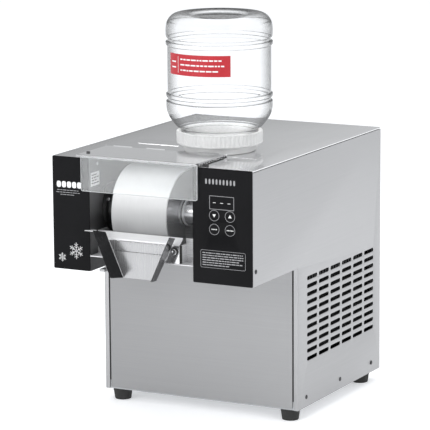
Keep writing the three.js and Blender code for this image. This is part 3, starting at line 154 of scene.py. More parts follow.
def surface(name, dark, light, rough, metallic=0.0, grain=(300, 300, 300), patch=14, grain_share=0.6,
            bump=0.15, depth=0.1 * MM, shade=None, rim=None, **fixed):
    """A finish with grain and patches in its colour, roughness and height.

    shade is (axis, start, end, factor) and paints light and shade along an axis, rim is a darker colour
    painted where the surface is seen edge on, and fixed holds shader sockets.
    """
    material = bpy.data.materials.new(name)
    material.use_nodes = True
    tree = material.node_tree
    shader = tree.nodes["Principled BSDF"]
    fine = stretched_noise(tree, grain, 5.0, 0.65)
    broad = stretched_noise(tree, (patch, patch, patch), 3.0)
    both = mixed_value(tree, broad, fine, grain_share)
    colour = mixed_colour(tree, scaled(tree, both, 0, 1), dark, light)
    if shade:
        colour = shaded_along(tree, colour, *shade)
    if rim:
        colour = painted_dark_rim(tree, colour, rim)
    tree.links.new(colour, shader.inputs["Base Color"])
    tree.links.new(scaled(tree, both, *rough), shader.inputs["Roughness"])
    relief = add_node(tree, "ShaderNodeBump", Strength=bump, Distance=depth)
    tree.links.new(fine, relief.inputs["Height"])
    tree.links.new(relief.outputs["Normal"], shader.inputs["Normal"])
    shader.inputs["Metallic"].default_value = metallic
    for socket, value in fixed.items():
        shader.inputs[socket.replace("_", " ")].default_value = value
    return material


ALONG, ACROSS = 5, 900  # brushed grain, in cycles per metre along and across


def brushed(name, direction, dark=0.54, light=0.66, rough=(0.30, 0.40), metallic=1.0, shade=None):
    grain = tuple(ALONG if axis == direction else ACROSS for axis in "xyz")
    return surface(
        name, (dark, dark, dark * 1.015), (light, light, light * 1.01), rough, metallic, grain,
        patch=6, grain_share=0.75, bump=0.12, depth=0.05 * MM, shade=shade,
    )


# Painted light: the front steel gets lighter towards the right.
FRONT_STEEL = brushed("front_steel", "x", 0.30, 0.33, (0.36, 0.46), shade=("x", -SIDE, SIDE, 1.12))
# Painted light: the side steel gets lighter upward, from the bottom of the shell to the head.
SIDE_STEEL = brushed(
    "side_steel", "y", 0.365, 0.415, (0.30, 0.40), shade=("z", SHELL_BOTTOM, HEAD_BOTTOM, 1.12)
)
# Painted light: the top steel gets much lighter towards the right.
TOP_STEEL = brushed("top_steel", "y", 0.50, 0.57, (0.13, 0.20), shade=("x", -SIDE, SIDE, 1.75))
# Painted shade: the lid steel gets darker at its front edge, which tones down its highlight there.
LID_STEEL = brushed(
    "lid_steel", "x", 0.80, 0.88, (0.13, 0.20), shade=("y", HEAD_FRONT + 5 * MM, HEAD_FRONT, 0.4)
)
SCREW_STEEL = surface(
    "screw_steel", (0.03, 0.03, 0.031), (0.07, 0.07, 0.072), (0.25, 0.35), 0.9, (400, 400, 400), 40, 0.5, 0.05
)
REAR_STEEL = brushed("rear_steel", "x", 0.40, 0.47, (0.34, 0.44))
TROUGH_STEEL = brushed("trough_steel", "x", 0.66, 0.76, (0.24, 0.34), 0.35)
WALL_STEEL = brushed("chamber_wall_steel", "z", 0.42, 0.52, (0.30, 0.42), 0.45)
# Painted light and shade: the right chamber wall is a light copy and the left one a dark copy of the chamber
# wall steel, and the left one also gets lighter upward.
WALL_STEEL_PAINTED_LIGHT = brushed("wall_steel_painted_light", "z", 0.78, 0.86, (0.30, 0.42), 0.1)
WALL_STEEL_PAINTED_SHADE = brushed(
    "wall_steel_painted_shade", "z", 0.06, 0.085, (0.30, 0.42), 0.4, ("z", HEAD_BOTTOM + 0.08, TOP, 4.5)
)
ZINC = surface(
    "zinc_sheet", (0.36, 0.37, 0.38), (0.52, 0.53, 0.54), (0.4, 0.6), 1.0, (60, 60, 60), 30, 0.5, 0.1
)
POLISHED = surface(
    "polished_steel", (0.72, 0.72, 0.73), (0.82, 0.82, 0.83), (0.07, 0.14), 1.0, (40, 800, 800), 20, 0.5,
    0.05, 0.02 * MM,
)
BLADE_STEEL = surface(
    "blade_steel", (0.86, 0.86, 0.87), (0.95, 0.95, 0.96), (0.28, 0.36), 0.3, (8, 900, 900), 20, 0.6, 0.1,
    0.02 * MM,
)
# Painted highlight: a pale finish for thin pieces that stand in for the glint along sheet edges and on the
# shaft's collar.
EDGE_HIGHLIGHT = surface(
    "painted_edge_highlight", (0.80, 0.80, 0.81), (0.92, 0.92, 0.93), (0.3, 0.4), 0.4, (300, 300, 300), 20, 0.5,
    0.05, 0.02 * MM,
)
CHUTE_STEEL = brushed("chute_steel", "z", 0.40, 0.48, (0.20, 0.30), 0.8)
TURNED = surface(
    "turned_steel", (0.5, 0.5, 0.51), (0.66, 0.66, 0.67), (0.2, 0.3), 0.75, (1200, 12, 12), 25, 0.7, 0.15,
    0.03 * MM,
)
# Painted shade: the frosted drum gets darker from near its top towards its bottom.
DRUM_FROST = surface(
    "drum_frost", (0.82, 0.825, 0.83), (0.95, 0.955, 0.96), (0.35, 0.5), 0.1, (700, 14, 14), 22, 0.55, 0.25,
    0.05 * MM, ("z", DRUM.z + 78 * MM, DRUM.z - 25 * MM, 0.28),
)
DISC = surface(
    "drum_end", (0.66, 0.665, 0.67), (0.76, 0.765, 0.77), (0.04, 0.08), 0.85, (60, 60, 60), 30, 0.5, 0.02,
    0.02 * MM,
)
GLOSS = surface(
    "gloss_black", (0.005, 0.005, 0.0056), (0.009, 0.009, 0.010), (0.14, 0.22), 0.0, (500, 500, 500), 10, 0.3,
    0.02, 0.02 * MM, Specular_IOR_Level=0.07,
)
PRINT = surface(
    "white_print", (0.72, 0.72, 0.72), (0.86, 0.86, 0.86), (0.4, 0.55), 0.0, (800, 800, 800), 80, 0.6, 0.1
)
FAINT_PRINT = surface(
    "grey_print", (0.26, 0.26, 0.27), (0.36, 0.36, 0.37), (0.4, 0.55), 0.0, (800, 800, 800), 80, 0.6, 0.1
)
BLACK_PLASTIC = surface(
    "black_plastic", (0.014, 0.014, 0.015), (0.03, 0.03, 0.032), (0.42, 0.6), 0.0, (900, 900, 900), 40, 0.7,
    0.3, 0.05 * MM,
)
RUBBER = surface(
    "black_rubber", (0.01, 0.01, 0.01), (0.03, 0.03, 0.029), (0.65, 0.9), 0.0, (500, 500, 500), 60, 0.6,
    0.35, 0.1 * MM,
)
BLACK_PAINT = surface(
    "black_enamel", (0.012, 0.012, 0.013), (0.03, 0.03, 0.03), (0.28, 0.42), 0.1, (250, 250, 250), 25, 0.6,
    0.25, 0.08 * MM, Coat_Weight=0.2,
)
# Painted reflection: the chute's wings are near black, standing in for the dark surroundings mirrored in
# their polished steel.
WING_STEEL_PAINTED_REFLECTION = surface(
    "wing_steel_painted_reflection", (0.010, 0.010, 0.011), (0.026, 0.026, 0.027), (0.2, 0.3), 0.15, (500, 500, 20), 30,
    0.6, 0.08, 0.03 * MM, Specular_IOR_Level=0.15,
)
COPPER = surface(
    "copper_tube", (0.48, 0.2, 0.1), (0.78, 0.4, 0.24), (0.22, 0.4), 1.0, (200, 200, 200), 25, 0.4, 0.1
)
# Painted shade: the fins are near black, standing in for the shade inside the cabinet behind the slots.
FINS_PAINTED_SHADE = surface(
    "fin_stock_painted_shade", (0.03, 0.031, 0.032), (0.08, 0.081, 0.083), (0.35, 0.55), 0.9, (20, 600, 20), 25, 0.5, 0.15
)
BOARD = surface(
    "board_green", (0.008, 0.07, 0.03), (0.02, 0.13, 0.06), (0.3, 0.45), 0.0, (700, 60, 700), 50, 0.5, 0.2
)
RED = surface(
    "label_red", (0.40, 0.008, 0.016), (0.50, 0.014, 0.026), (0.34, 0.46), 0.0, (300, 300, 300), 30, 0.5, 0.08
)
MILKY = surface(
    "milky_plastic", (0.74, 0.742, 0.74), (0.86, 0.862, 0.86), (0.35, 0.45), 0.0, (90, 90, 90), 30, 0.5,
    0.03, 0.03 * MM, Transmission_Weight=0.2, IOR=1.3,
)
# Painted reflection: the clear bottle's near-black rim colour darkens it where it is seen edge on.
PET = surface(
    "clear_bottle", (0.97, 0.975, 0.98), (1.0, 1.0, 1.0), (0.0, 0.02), 0.0, (30, 30, 60), 12, 0.4,
    0.12, 0.2 * MM, None, (0.02, 0.021, 0.022), Transmission_Weight=1.0, IOR=1.25,
)
ACRYLIC = surface(
    "clear_acrylic", (0.93, 0.945, 0.95), (0.98, 0.99, 0.99), (0.01, 0.035), 0.0, (40, 40, 40), 10, 0.4,
    0.02, 0.05 * MM, Transmission_Weight=0.88, IOR=1.2,
)
# Painted highlight: a pale finish for the guard's rim, standing in for the glint on its cut edges.
ACRYLIC_EDGE_HIGHLIGHT = surface(
    "acrylic_edge_highlight", (0.50, 0.51, 0.52), (0.62, 0.63, 0.64), (0.3, 0.4), 0.0, (60, 60, 60), 10, 0.4,
    0.02, 0.05 * MM, Transmission_Weight=0.3,
)


# ------------------------------------------------------------------ shapes
def add_piece(name, mesh, body, material, stands_for=()):
    piece = bpy.data.objects.new(name, mesh)
    bpy.context.scene.collection.objects.link(piece)
    mesh.materials.append(material)
    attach(piece, body)
    if stands_for:
        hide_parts(*stands_for)
    return piece


def finished(shape, name, smooth_below=32):
    """The bmesh as a mesh with outward faces, smooth except across edges sharper than the angle."""
    bmesh.ops.remove_doubles(shape, verts=shape.verts, dist=1e-7)
    bmesh.ops.dissolve_degenerate(shape, edges=shape.edges, dist=1e-7)
    bmesh.ops.recalc_face_normals(shape, faces=shape.faces)
    mesh = bpy.data.meshes.new(name)
    shape.to_mesh(mesh)
    shape.free()
    mesh.shade_smooth()
    mesh.set_sharp_from_angle(angle=math.radians(smooth_below))
    return mesh


def rounded(points, radius, closed=True, steps=5):
    """The path with each corner turned into a short curve that starts radius away from it."""
    count = len(points)
    path = []
    for i, corner in enumerate(points):
        if not closed and i in (0, count - 1):
            path.append(tuple(corner))
            continue
        here = Vector(corner)
        before, after = Vector(points[i - 1]), Vector(points[(i + 1) % count])
        start = here + (before - here) * min(0.5, radius / max((before - here).length, 1e-9))
        end = here + (after - here) * min(0.5, radius / max((after - here).length, 1e-9))
        for k in range(steps + 1):
            t = k / steps
            path.append(tuple(start * (1 - t) ** 2 + here * 2 * t * (1 - t) + end * t ** 2))
    return path


def rectangle(a0, b0, a1, b1, radius=0.0, steps=5):
    corners = [(a0, b0), (a1, b0), (a1, b1), (a0, b1)]
    return rounded(corners, radius, True, steps) if radius else corners


def circle(a, b, radius, steps=40):
    return [
        (a + radius * math.cos(2 * math.pi * k / steps), b + radius * math.sin(2 * math.pi * k / steps))
        for k in range(steps)
    ]


def stadium(a0, b0, a1, b1, steps=8):
    """A slot that is longer along its first coordinate, with half-round ends."""
    radius = (b1 - b0) / 2
    loop = []
    for centre, first in ((a1 - radius, -math.pi / 2), (a0 + radius, math.pi / 2)):
        for k in range(steps + 1):
            angle = first + math.pi * k / steps
            loop.append((centre + radius * math.cos(angle), b0 + radius + radius * math.sin(angle)))
    return loop


AXIS = {"x": Vector((1, 0, 0)), "y": Vector((0, 1, 0)), "z": Vector((0, 0, 1))}
PLANE = {
    "x": Matrix(((0, 0, 1, 0), (1, 0, 0, 0), (0, 1, 0, 0), (0, 0, 0, 1))),
    "y": Matrix(((1, 0, 0, 0), (0, 0, -1, 0), (0, 1, 0, 0), (0, 0, 0, 1))),
    "z": Matrix.Identity(4),
}


def flat_shape(loops, plane, low, high, bevel=0.0):
    """Loops filled as a sheet between two levels of an axis, with rounded edges.

    Loops are in (y, z) for a sheet across x, in (x, z) across y and in (x, y) across z. A loop inside
    another is a hole in it.
    """
    curve = bpy.data.curves.new("outline", "CURVE")
    curve.dimensions = "2D"
    curve.fill_mode = "BOTH"
    curve.extrude = (high - low) / 2 - bevel
    curve.bevel_depth = bevel
    curve.bevel_resolution = 2
    curve.offset = -bevel
    for loop in loops:
        spline = curve.splines.new("POLY")
        spline.points.add(len(loop) - 1)
        for point, (a, b) in zip(spline.points, loop):
            point.co = (a, b, 0, 1)
        spline.use_cyclic_u = True
    holder = bpy.data.objects.new("outline", curve)
    bpy.context.scene.collection.objects.link(holder)
    evaluated = holder.evaluated_get(bpy.context.evaluated_depsgraph_get())
    mesh = bpy.data.meshes.new_from_object(evaluated)
    bpy.data.objects.remove(holder)
    bpy.data.curves.remove(curve)
    shape = bmesh.new()
    shape.from_mesh(mesh)
    bpy.data.meshes.remove(mesh)
    offset = AXIS[plane] * (low + high) / 2
    bmesh.ops.transform(shape, matrix=Matrix.Translation(offset) @ PLANE[plane], verts=shape.verts)
    return shape


def joined(*shapes):
    whole = bmesh.new()
    for shape in shapes:
        part = bpy.data.meshes.new("part")
        shape.to_mesh(part)
        whole.from_mesh(part)
        shape.free()
        bpy.data.meshes.remove(part)
    return whole


def sheet(name, body, material, loops, plane, low, high, bevel=0.3 * MM, stands_for=()):
    mesh = finished(flat_shape(loops, plane, low, high, bevel), name)
    return add_piece(name, mesh, body, material, stands_for)


TURN_FRAME = {"x": ((0, 1, 0), (0, 0, 1)), "y": ((0, 0, 1), (1, 0, 0)), "z": ((1, 0, 0), (0, 1, 0))}


def turned_shape(axis, centre, profile, segments=96, ripple=None):
    """A profile of (radius, distance along the axis) in metres turned about an axis through a point.

    It closes on itself, or starts and ends on the axis. ripple(angle, radius, along) gives a new radius.
    """
    u, v = (Vector(direction) for direction in TURN_FRAME[axis])
    along = AXIS[axis]
    shape = bmesh.new()
    rings = []
    for radius, height in profile:
        base = Vector(centre) + along * height
        if radius < 1e-9:
            rings.append([shape.verts.new(base)])
            continue
        ring = []
        for k in range(segments):
            angle = 2 * math.pi * k / segments
            here = ripple(angle, radius, height) if ripple else radius
            ring.append(shape.verts.new(base + (u * math.cos(angle) + v * math.sin(angle)) * here))
        rings.append(ring)
    pairs = list(zip(rings, rings[1:]))
    if len(rings[0]) > 1:
        pairs.append((rings[-1], rings[0]))
    for first, second in pairs:
        for k in range(segments):
            j = (k + 1) % segments
            corners = [first[k % len(first)], first[j % len(first)], second[j % len(second)],
                       second[k % len(second)]]
            kept = list(dict.fromkeys(corners))
            if len(kept) > 2:
                shape.faces.new(kept)
    return shape


def turned(name, body, material, axis, centre, profile, segments=96, stands_for=(), ripple=None,
           smooth_below=32):
    """The same as a piece, with its profile in millimetres."""
    metres = [(r * MM, h * MM) for r, h in profile]
    mesh = finished(turned_shape(axis, centre, metres, segments, ripple), name, smooth_below)
    return add_piece(name, mesh, body, material, stands_for)


def softened(points, rounds=3):
    """An open path with its corners cut again and again, so that it runs as a smooth curve."""
    for _ in range(rounds):
        path = [points[0]]
        for (a0, b0), (a1, b1) in zip(points, points[1:]):
            path.append((a0 * 0.75 + a1 * 0.25, b0 * 0.75 + b1 * 0.25))
            path.append((a0 * 0.25 + a1 * 0.75, b0 * 0.25 + b1 * 0.75))
        path.append(points[-1])
        points = path
    return points


def lets_light_through(piece):
    """Clear sheets cast no shadow, so that lamps reach what is behind them."""
    piece.visible_shadow = False
    return piece


def dress(node, material, edge=0.35 * MM):
    """Gives a CAD node its finish and soft edges, and leaves its shape as it is."""
    piece = frame["nodes"][node]
    piece.data.materials.clear()
    piece.data.materials.append(material)
    weld = piece.modifiers.new("weld", "WELD")
    weld.merge_threshold = 1e-6
    bevel = piece.modifiers.new("edge", "BEVEL")
    bevel.width = edge
    bevel.segments = 2
    bevel.limit_method = "ANGLE"
    bevel.angle_limit = math.radians(35)


# ------------------------------------------------------------------ cabinet
SLOT = {"length": 37.8 * MM, "height": 6.3 * MM, "gap": 6.3 * MM, "pitch": 13.15 * MM}


def slot_field(first_a, top_b, columns, rows):
    """Round-ended slots in columns and rows, from the upper corner at the low end of the first axis."""
    return [
        stadium(
            first_a + column * (SLOT["length"] + SLOT["gap"]),
            top_b - row * SLOT["pitch"] - SLOT["height"],
            first_a + column * (SLOT["length"] + SLOT["gap"]) + SLOT["length"],
            top_b - row * SLOT["pitch"],
        )
        for row in range(rows)
        for column in range(columns)
    ]


FLANGE_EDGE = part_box("right_side_panel")[0].x


def side_panel(name, outward, holes):
    """The L-shaped sheet and its flange at the front of the base."""
    low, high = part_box(name)
    outline = [
        (BASE_FRONT + 0.4 * MM, low.z), (high.y, low.z), (high.y, high.z), (low.y, high.z),
        (low.y, HEAD_BOTTOM), (BASE_FRONT + 0.4 * MM, HEAD_BOTTOM),
    ]
    outer, inner = outward * SIDE, outward * (SIDE - SHEET)
    edge = outward * FLANGE_EDGE
    sheet_shape = flat_shape(
        [rounded(outline, 0.8 * MM)] + holes, "x", min(outer, inner), max(outer, inner), 0.3 * MM
    )
    flange = rectangle(
        min(outer, edge), low.z, max(outer, edge), HEAD_BOTTOM - 0.2 * MM, 1.2 * MM
    )
    flange_shape = flat_shape([flange], "y", BASE_FRONT, BASE_FRONT + SHEET, 0.5 * MM)
    mesh = finished(joined(sheet_shape, flange_shape), name + "_skin")
    add_piece(name + "_skin", mesh, "cabinet", SIDE_STEEL, [name])


GRILLE_TOP = HEAD_BOTTOM - 19.5 * MM
side_panel("left_side_panel", -1, [])
side_panel("right_side_panel", 1, slot_field(BASE_FRONT + 34 * MM, GRILLE_TOP, 6, 11))


def drain_lip():
    """A small open channel that stands out from the left panel's flange, under the head."""
    x0, x1 = -SIDE + 0.5 * MM, -SIDE + 10.5 * MM
    y0, y1 = BASE_FRONT - 18.3 * MM, BASE_FRONT - 0.3 * MM
    z = HEAD_BOTTOM - 33 * MM
    wall = 1.2 * MM
    channel = [rectangle(x0, y0, x1, y1, 1.5 * MM),
               rectangle(x0 + wall, y0 + wall, x1 - wall, y1 - wall, 0.6 * MM)]
    floor_shape = flat_shape([rectangle(x0, y0, x1, y1, 1.5 * MM)], "z", z, z + 1.2 * MM, 0.2 * MM)
    rim_shape = flat_shape(channel, "z", z + 0.8 * MM, z + 4 * MM, 0.2 * MM)
    mesh = finished(joined(floor_shape, rim_shape), "drain_channel")
    add_piece("drain_channel", mesh, "cabinet", SIDE_STEEL)


drain_lip()


def base_front():
    low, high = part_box("base_front_panel")
    sheet("base_front_skin", "cabinet", FRONT_STEEL, [rectangle(low.x, low.z, high.x, high.z, 3 * MM)], "y",
          low.y, high.y, 0.5 * MM, ["base_front_panel"])


base_front()


def gap_shade_strips():
    """Dark sheets behind the gaps beside the front panel, as painted shade in the gaps."""
    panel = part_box("base_front_panel")[1]
    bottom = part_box("base_tray")[1].z + 0.5 * MM
    behind_panel, behind_flange = 1.4 * MM, 1.1 * MM
    for side, outward in (("left", -1), ("right", 1)):
        start, end = sorted((outward * (panel.x - behind_panel), outward * (FLANGE_EDGE + behind_flange)))
        sheet(f"{side}_gap_shade_strip", "cabinet", RUBBER, [rectangle(start, bottom, end, panel.z)], "y",
              panel.y + 0.1 * MM, panel.y + 1.6 * MM, 0.1 * MM)


gap_shade_strips()


def rear_skin():
    """The rear sheet with a field of vents and the mains inlet's cut-out."""
    low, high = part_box("rear_panel")
    inlet = middle("power_inlet")
    half_width, half_height = 24 * MM, 14 * MM
    inlet_hole = rectangle(
        inlet.x - half_width, inlet.z - half_height, inlet.x + half_width, inlet.z + half_height
    )
    columns, rows = 4, 6
    field_width = columns * SLOT["length"] + (columns - 1) * SLOT["gap"]
    vents = slot_field(-field_width / 2, GRILLE_TOP, columns, rows)
    sheet("rear_skin", "cabinet", REAR_STEEL,
          [rectangle(low.x, low.z, high.x, high.z, 2 * MM), inlet_hole] + vents,
          "y", low.y, high.y, 0.3 * MM, ["rear_panel"])


rear_skin()


def top_skin():
    """The top cover, with the drum's mouth and the opening for the bottle seat."""
    low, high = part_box("top_cover")
    seat_low, seat_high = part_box("bottle_seat")
    mouth_back = HEAD_FRONT + 92 * MM
    gap = 0.5 * MM
    seat_hole = rectangle(seat_low.x - gap, seat_low.y - gap, seat_high.x + gap, seat_high.y + gap)
    outline = [
        (low.x, low.y), (MOUTH_LEFT, low.y), (MOUTH_LEFT, mouth_back), (MOUTH_RIGHT, mouth_back),
        (MOUTH_RIGHT, low.y), (high.x, low.y), (high.x, high.y), (low.x, high.y),
    ]
    sheet("top_skin", "cabinet", TOP_STEEL, [rounded(outline, 1.5 * MM), seat_hole], "z", low.z, high.z,
          0.6 * MM, ["top_cover"])


top_skin()

CAD_FINISHES = {
    "bottle_seat": TOP_STEEL, "base_tray": ZINC, "deck_plate": ZINC, "chamber_back_wall": WALL_STEEL,
    "water_trough": TROUGH_STEEL, "left_pod_shell": WALL_STEEL_PAINTED_SHADE, "right_pod_shell": WALL_STEEL_PAINTED_LIGHT,
    "lid_hinge": TOP_STEEL, "scraper_blade": BLADE_STEEL,
    "blade_holder": POLISHED, "blade_gasket": RUBBER, "power_inlet": BLACK_PLASTIC,
    "control_board": BOARD, "gear_motor": BLACK_PAINT, "compressor": BLACK_PAINT,
    "fan_motor": BLACK_PAINT, "fan_shroud": BLACK_PLASTIC, "fan_blades": BLACK_PLASTIC,
    "rotary_union": ZINC, "right_drum_bearing": ZINC, "discharge_pipe": COPPER, "suction_pipe": COPPER,
    "cap_valve": MILKY, "condenser": FINS_PAINTED_SHADE,
}
for node, material in CAD_FINISHES.items():
    dress(node, material)

# ------------------------------------------------------------------ screws and feet
SIDE_SCREWS = [f"{side}_{where}_screw" for side in ("left", "right")
               for where in ("front", "middle", "rear", "head")]


def screw_head(node):
    """A pan head with a cross cut into it."""
    low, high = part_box(node)
    outward = 1 if high.x > 0 else -1
    centre = Vector((outward * SIDE, (low.y + high.y) / 2, (low.z + high.z) / 2))
    profile = [(0, -2), (1.5, -2), (1.5, 0.1), (3.6, 0.1), (3.6, 0.45), (3.1, 0.95), (2.2, 1.15), (1.3, 1.2),
               (0.9, 0.5), (0, 0.35)]
    turned(node + "_head", "cabinet", SCREW_STEEL, "x", centre, [(r, h * outward) for r, h in profile], 24,
           [node],
           ripple=lambda angle, r, h: r * (0.75 + 0.25 * math.cos(4 * angle)) if r < 1.4 * MM else r)


for node in SIDE_SCREWS:
    screw_head(node)

FOOT_PROFILE = [(0, 0), (12.3, 0), (13.3, 0.5), (13.7, 2), (15.2, 13.2), (15.75, 14.2), (15.75, 18.2),
                (15.2, 18.7), (0, 18.7)]


def foot(node):
    centre = middle(node)
    centre.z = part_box(node)[0].z
    turned(node + "_rubber", "cabinet", RUBBER, "z", centre, FOOT_PROFILE, 48, [node])


for node in ("front_left_foot", "rear_left_foot", "front_right_foot", "rear_right_foot"):
    foot(node)

# ------------------------------------------------------------------ fascias and their printing
BUTTONS = ("down_button", "up_button", "mode_button", "power_button")
BUTTON_RADIUS = 8.8 * MM


def fascias():
    """The two black front plates. The right one has a hole for each button."""
    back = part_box("right_fascia")[1].y
    sheet("left_fascia_panel", "cabinet", GLOSS, [rectangle(-SIDE, HEAD_BOTTOM, MOUTH_LEFT, TOP, 2 * MM)],
          "y", HEAD_FRONT, back, 0.35 * MM, ["left_fascia"])
    spots = [middle(node) for node in BUTTONS]
    holes = [circle(spot.x, spot.z, BUTTON_RADIUS + 0.3 * MM) for spot in spots]
    outline = rectangle(MOUTH_RIGHT, HEAD_BOTTOM, SIDE, TOP, 2 * MM)
    sheet("right_fascia_panel", "cabinet", GLOSS, [outline] + holes, "y", HEAD_FRONT, back, 0.2 * MM,
          ["right_fascia"])


fascias()

INK = 0.08 * MM  # height of the printing


def printed(name, loops, body="cabinet", material=PRINT, face=HEAD_FRONT):
    sheet(name, body, material, loops, "y", face - INK, face + 0.02 * MM, 0.0, ())


def bars(left, right, z, height, lengths, space):
    """A row of short bars that stands for a line of words. lengths are in millimetres."""
    loops, x = [], left
    for length in lengths:
        end = x + length * MM
        if end > right:
            break
        loops.append(rectangle(x, z, end, z + height, height * 0.3, 2))
        x = end + space
    return loops


def ring(x, z, radius, width):
    return [circle(x, z, radius), circle(x, z, radius - width)]


def frame_loops(a0, b0, a1, b1, radius, width):
    return [rectangle(a0, b0, a1, b1, radius),
            rectangle(a0 + width, b0 + width, a1 - width, b1 - width, max(radius - width, 0.1 * MM))]


def at_right(x, z):
    """A point on the right fascia from its lower inner corner, in millimetres."""
    return MOUTH_RIGHT + x * MM, HEAD_BOTTOM + z * MM


def at_left(x, z):
    """A point on the left fascia from its lower outer corner, in millimetres."""
    return -SIDE + x * MM, HEAD_BOTTOM + z * MM


def heading():
    """A row of plain upright blocks."""
    x, z = at_right(22, 155)
    blocks = bars(x, x + 56 * MM, z, 8.5 * MM, [3.0] * 9, 3.0 * MM)
    printed("heading_marks", blocks, material=FAINT_PRINT)


heading()


def display():
    """A window's outline with three dashes."""
    x0, z0 = at_right(29, 116.6)
    x1, z1 = at_right(71, 137.7)
    printed("display_outline", frame_loops(x0, z0, x1, z1, 0.8 * MM, 0.7 * MM), material=FAINT_PRINT)
    length, low, high = 5, z0 + 10 * MM, z0 + 10.8 * MM
    dashes = [rectangle(x0 + start * MM, low, x0 + (start + length) * MM, high) for start in (6, 18.5, 31)]
    printed("display_dashes", dashes)


display()
KEY_PROFILE = [(0, 0.25), (5.5, 0.2), (8.3, 0), (8.8, 0.4), (8.8, 2.2), (9.9, 2.3), (9.9, 3.4), (3, 3.5),
               (3, 8), (0, 8)]


def button_marks(node, x, z):
    """Arrows on two buttons, and rows of short bars that stand for words on the other two."""
    half, tip = 3 * MM, 2 * MM
    if node == "down_button":
        return [[(x - half, z + tip), (x, z - half), (x + half, z + tip)]]
    if node == "up_button":
        return [[(x - half, z - tip), (x + half, z - tip), (x, z + half)]]
    if node == "mode_button":
        return bars(x - 4.5 * MM, x + 5 * MM, z - 0.8 * MM, 1.6 * MM, [1.7] * 4, 0.8 * MM)
    return bars(x - 5.5 * MM, x + 6 * MM, z - 0.8 * MM, 1.6 * MM, [1.6] * 5, 0.8 * MM)


def button(node):
    """A round key with a printed ring and its mark."""
    centre = middle(node)
    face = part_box(node)[0].y
    turned(node + "_key", node, GLOSS, "y", (centre.x, face, centre.z), KEY_PROFILE, 64, [node])
    outline = ring(centre.x, centre.z, BUTTON_RADIUS - 0.2 * MM, 0.6 * MM)
    printed(node + "_ring", outline, node, FAINT_PRINT, face)
    printed(node + "_mark", button_marks(node, centre.x, centre.z), node, face=face)


for node in BUTTONS:
    button(node)


def notice():
    """A rounded outline round six plain lines."""
    x0, z0 = at_right(13.3, 25)
    x1, z1 = at_right(90.2, 52.6)
    printed("notice_outline", frame_loops(x0, z0, x1, z1, 2.6 * MM, 0.5 * MM), material=FAINT_PRINT)
    words = random.Random(7)
    rows, first_drop, pitch = 6, 5.2, 3.75
    lines = []
    for row in range(rows):
        end = x1 - (26 if row == rows - 1 else 3) * MM
        lengths = [words.choice((2.2, 3.4, 4.8, 6.0, 7.4)) for _ in range(20)]
        z = z1 - (first_drop + row * pitch) * MM
        lines += bars(x0 + 3.2 * MM, end, z, 1.5 * MM, lengths, 0.9 * MM)
    printed("notice_lines", lines, material=FAINT_PRINT)


notice()

LEFT_LINES = (  # distance from the fascia's edge, and the bars' lengths, in millimetres
    (8, [5, 3, 7, 4, 6, 5, 3]),
    (6.5, [6, 4, 5, 7, 3, 8, 4]),
    (14, [4, 6, 5, 7]),
)


def left_printing():
    """A plain block heading with fine lines under it."""
    width = 47 * MM
    x, z = at_left(7.5, 130.5)
    printed("left_heading_marks", bars(x, x + width, z, 10 * MM, [7.6] * 5, 1.6 * MM))
    for row, (start, lengths) in enumerate(LEFT_LINES):
        x, z = at_left(start, 126 - row * 3.6)
        line = bars(x, x + width, z, 0.9 * MM, lengths, 0.9 * MM)
        printed(f"left_small_lines_{row}", line, material=FAINT_PRINT)


left_printing()


def stroke(x, z, angle, start, end, width):
    """A straight bar that runs outward from a point at an angle, between two distances from it."""
    along = (math.cos(angle), math.sin(angle))
    half = width / 2
    return [(x + t * along[0] - s * along[1], z + t * along[1] + s * along[0])
            for t, s in ((start, -half), (end, -half), (end, half), (start, half))]


def crystal(name, x, z, radius, width):
    """A six-armed snow crystal: each arm is a bar with two pairs of branches."""
    strokes = []
    for arm in range(6):
        angle = math.pi / 3 * arm + math.pi / 2
        strokes.append(stroke(x, z, angle, radius * 0.06, radius, width))
        for start, length in ((0.36, 0.30), (0.62, 0.30)):
            root = (x + start * radius * math.cos(angle), z + start * radius * math.sin(angle))
            for turn in (-math.pi / 3.4, math.pi / 3.4):
                strokes.append(stroke(*root, angle + turn, 0, length * radius, width * 0.85))
    face = HEAD_FRONT
    shapes = [flat_shape([loop], "y", face - INK, face + 0.02 * MM) for loop in strokes]
    add_piece(name, finished(joined(*shapes), name), "cabinet", PRINT)


crystal("large_crystal", *at_left(41, 30.8), 13.2 * MM, 0.8 * MM)
crystal("small_crystal", *at_left(15.6, 18.9), 7.2 * MM, 0.6 * MM)


def wall_plate():
    """A plain notice plate and a stud on the left wall inside the mouth."""
    wall, face = MOUTH_LEFT, MOUTH_LEFT + 0.25 * MM
    y, z = HEAD_FRONT + 8 * MM, HEAD_BOTTOM + 133.5 * MM
    width, height = 30 * MM, 21.5 * MM
    sheet("wall_plate", "cabinet", PRINT, [rectangle(y, z, y + width, z + height, 1 * MM)], "x",
          wall - 0.02 * MM, face, 0.05 * MM)
    turned("wall_stud", "cabinet", POLISHED, "x", (wall, HEAD_FRONT + 31 * MM, TOP - 13 * MM),
           [(0, -0.5), (3.4, -0.5), (3.4, 1.2), (2.6, 2.2), (1.4, 2.4), (1.2, 1.4), (0, 1.3)], 32)
    lines = []
    for row in range(4):
        lines += bars(y + 3 * MM, y + 28 * MM, z + (3.5 + row * 4.4) * MM, 1.6 * MM, [6, 9, 7][row % 2:],
                      1.2 * MM)
    sheet("wall_plate_lines", "cabinet", GLOSS, lines, "x", face, face + 0.07 * MM, 0.0)


wall_plate()

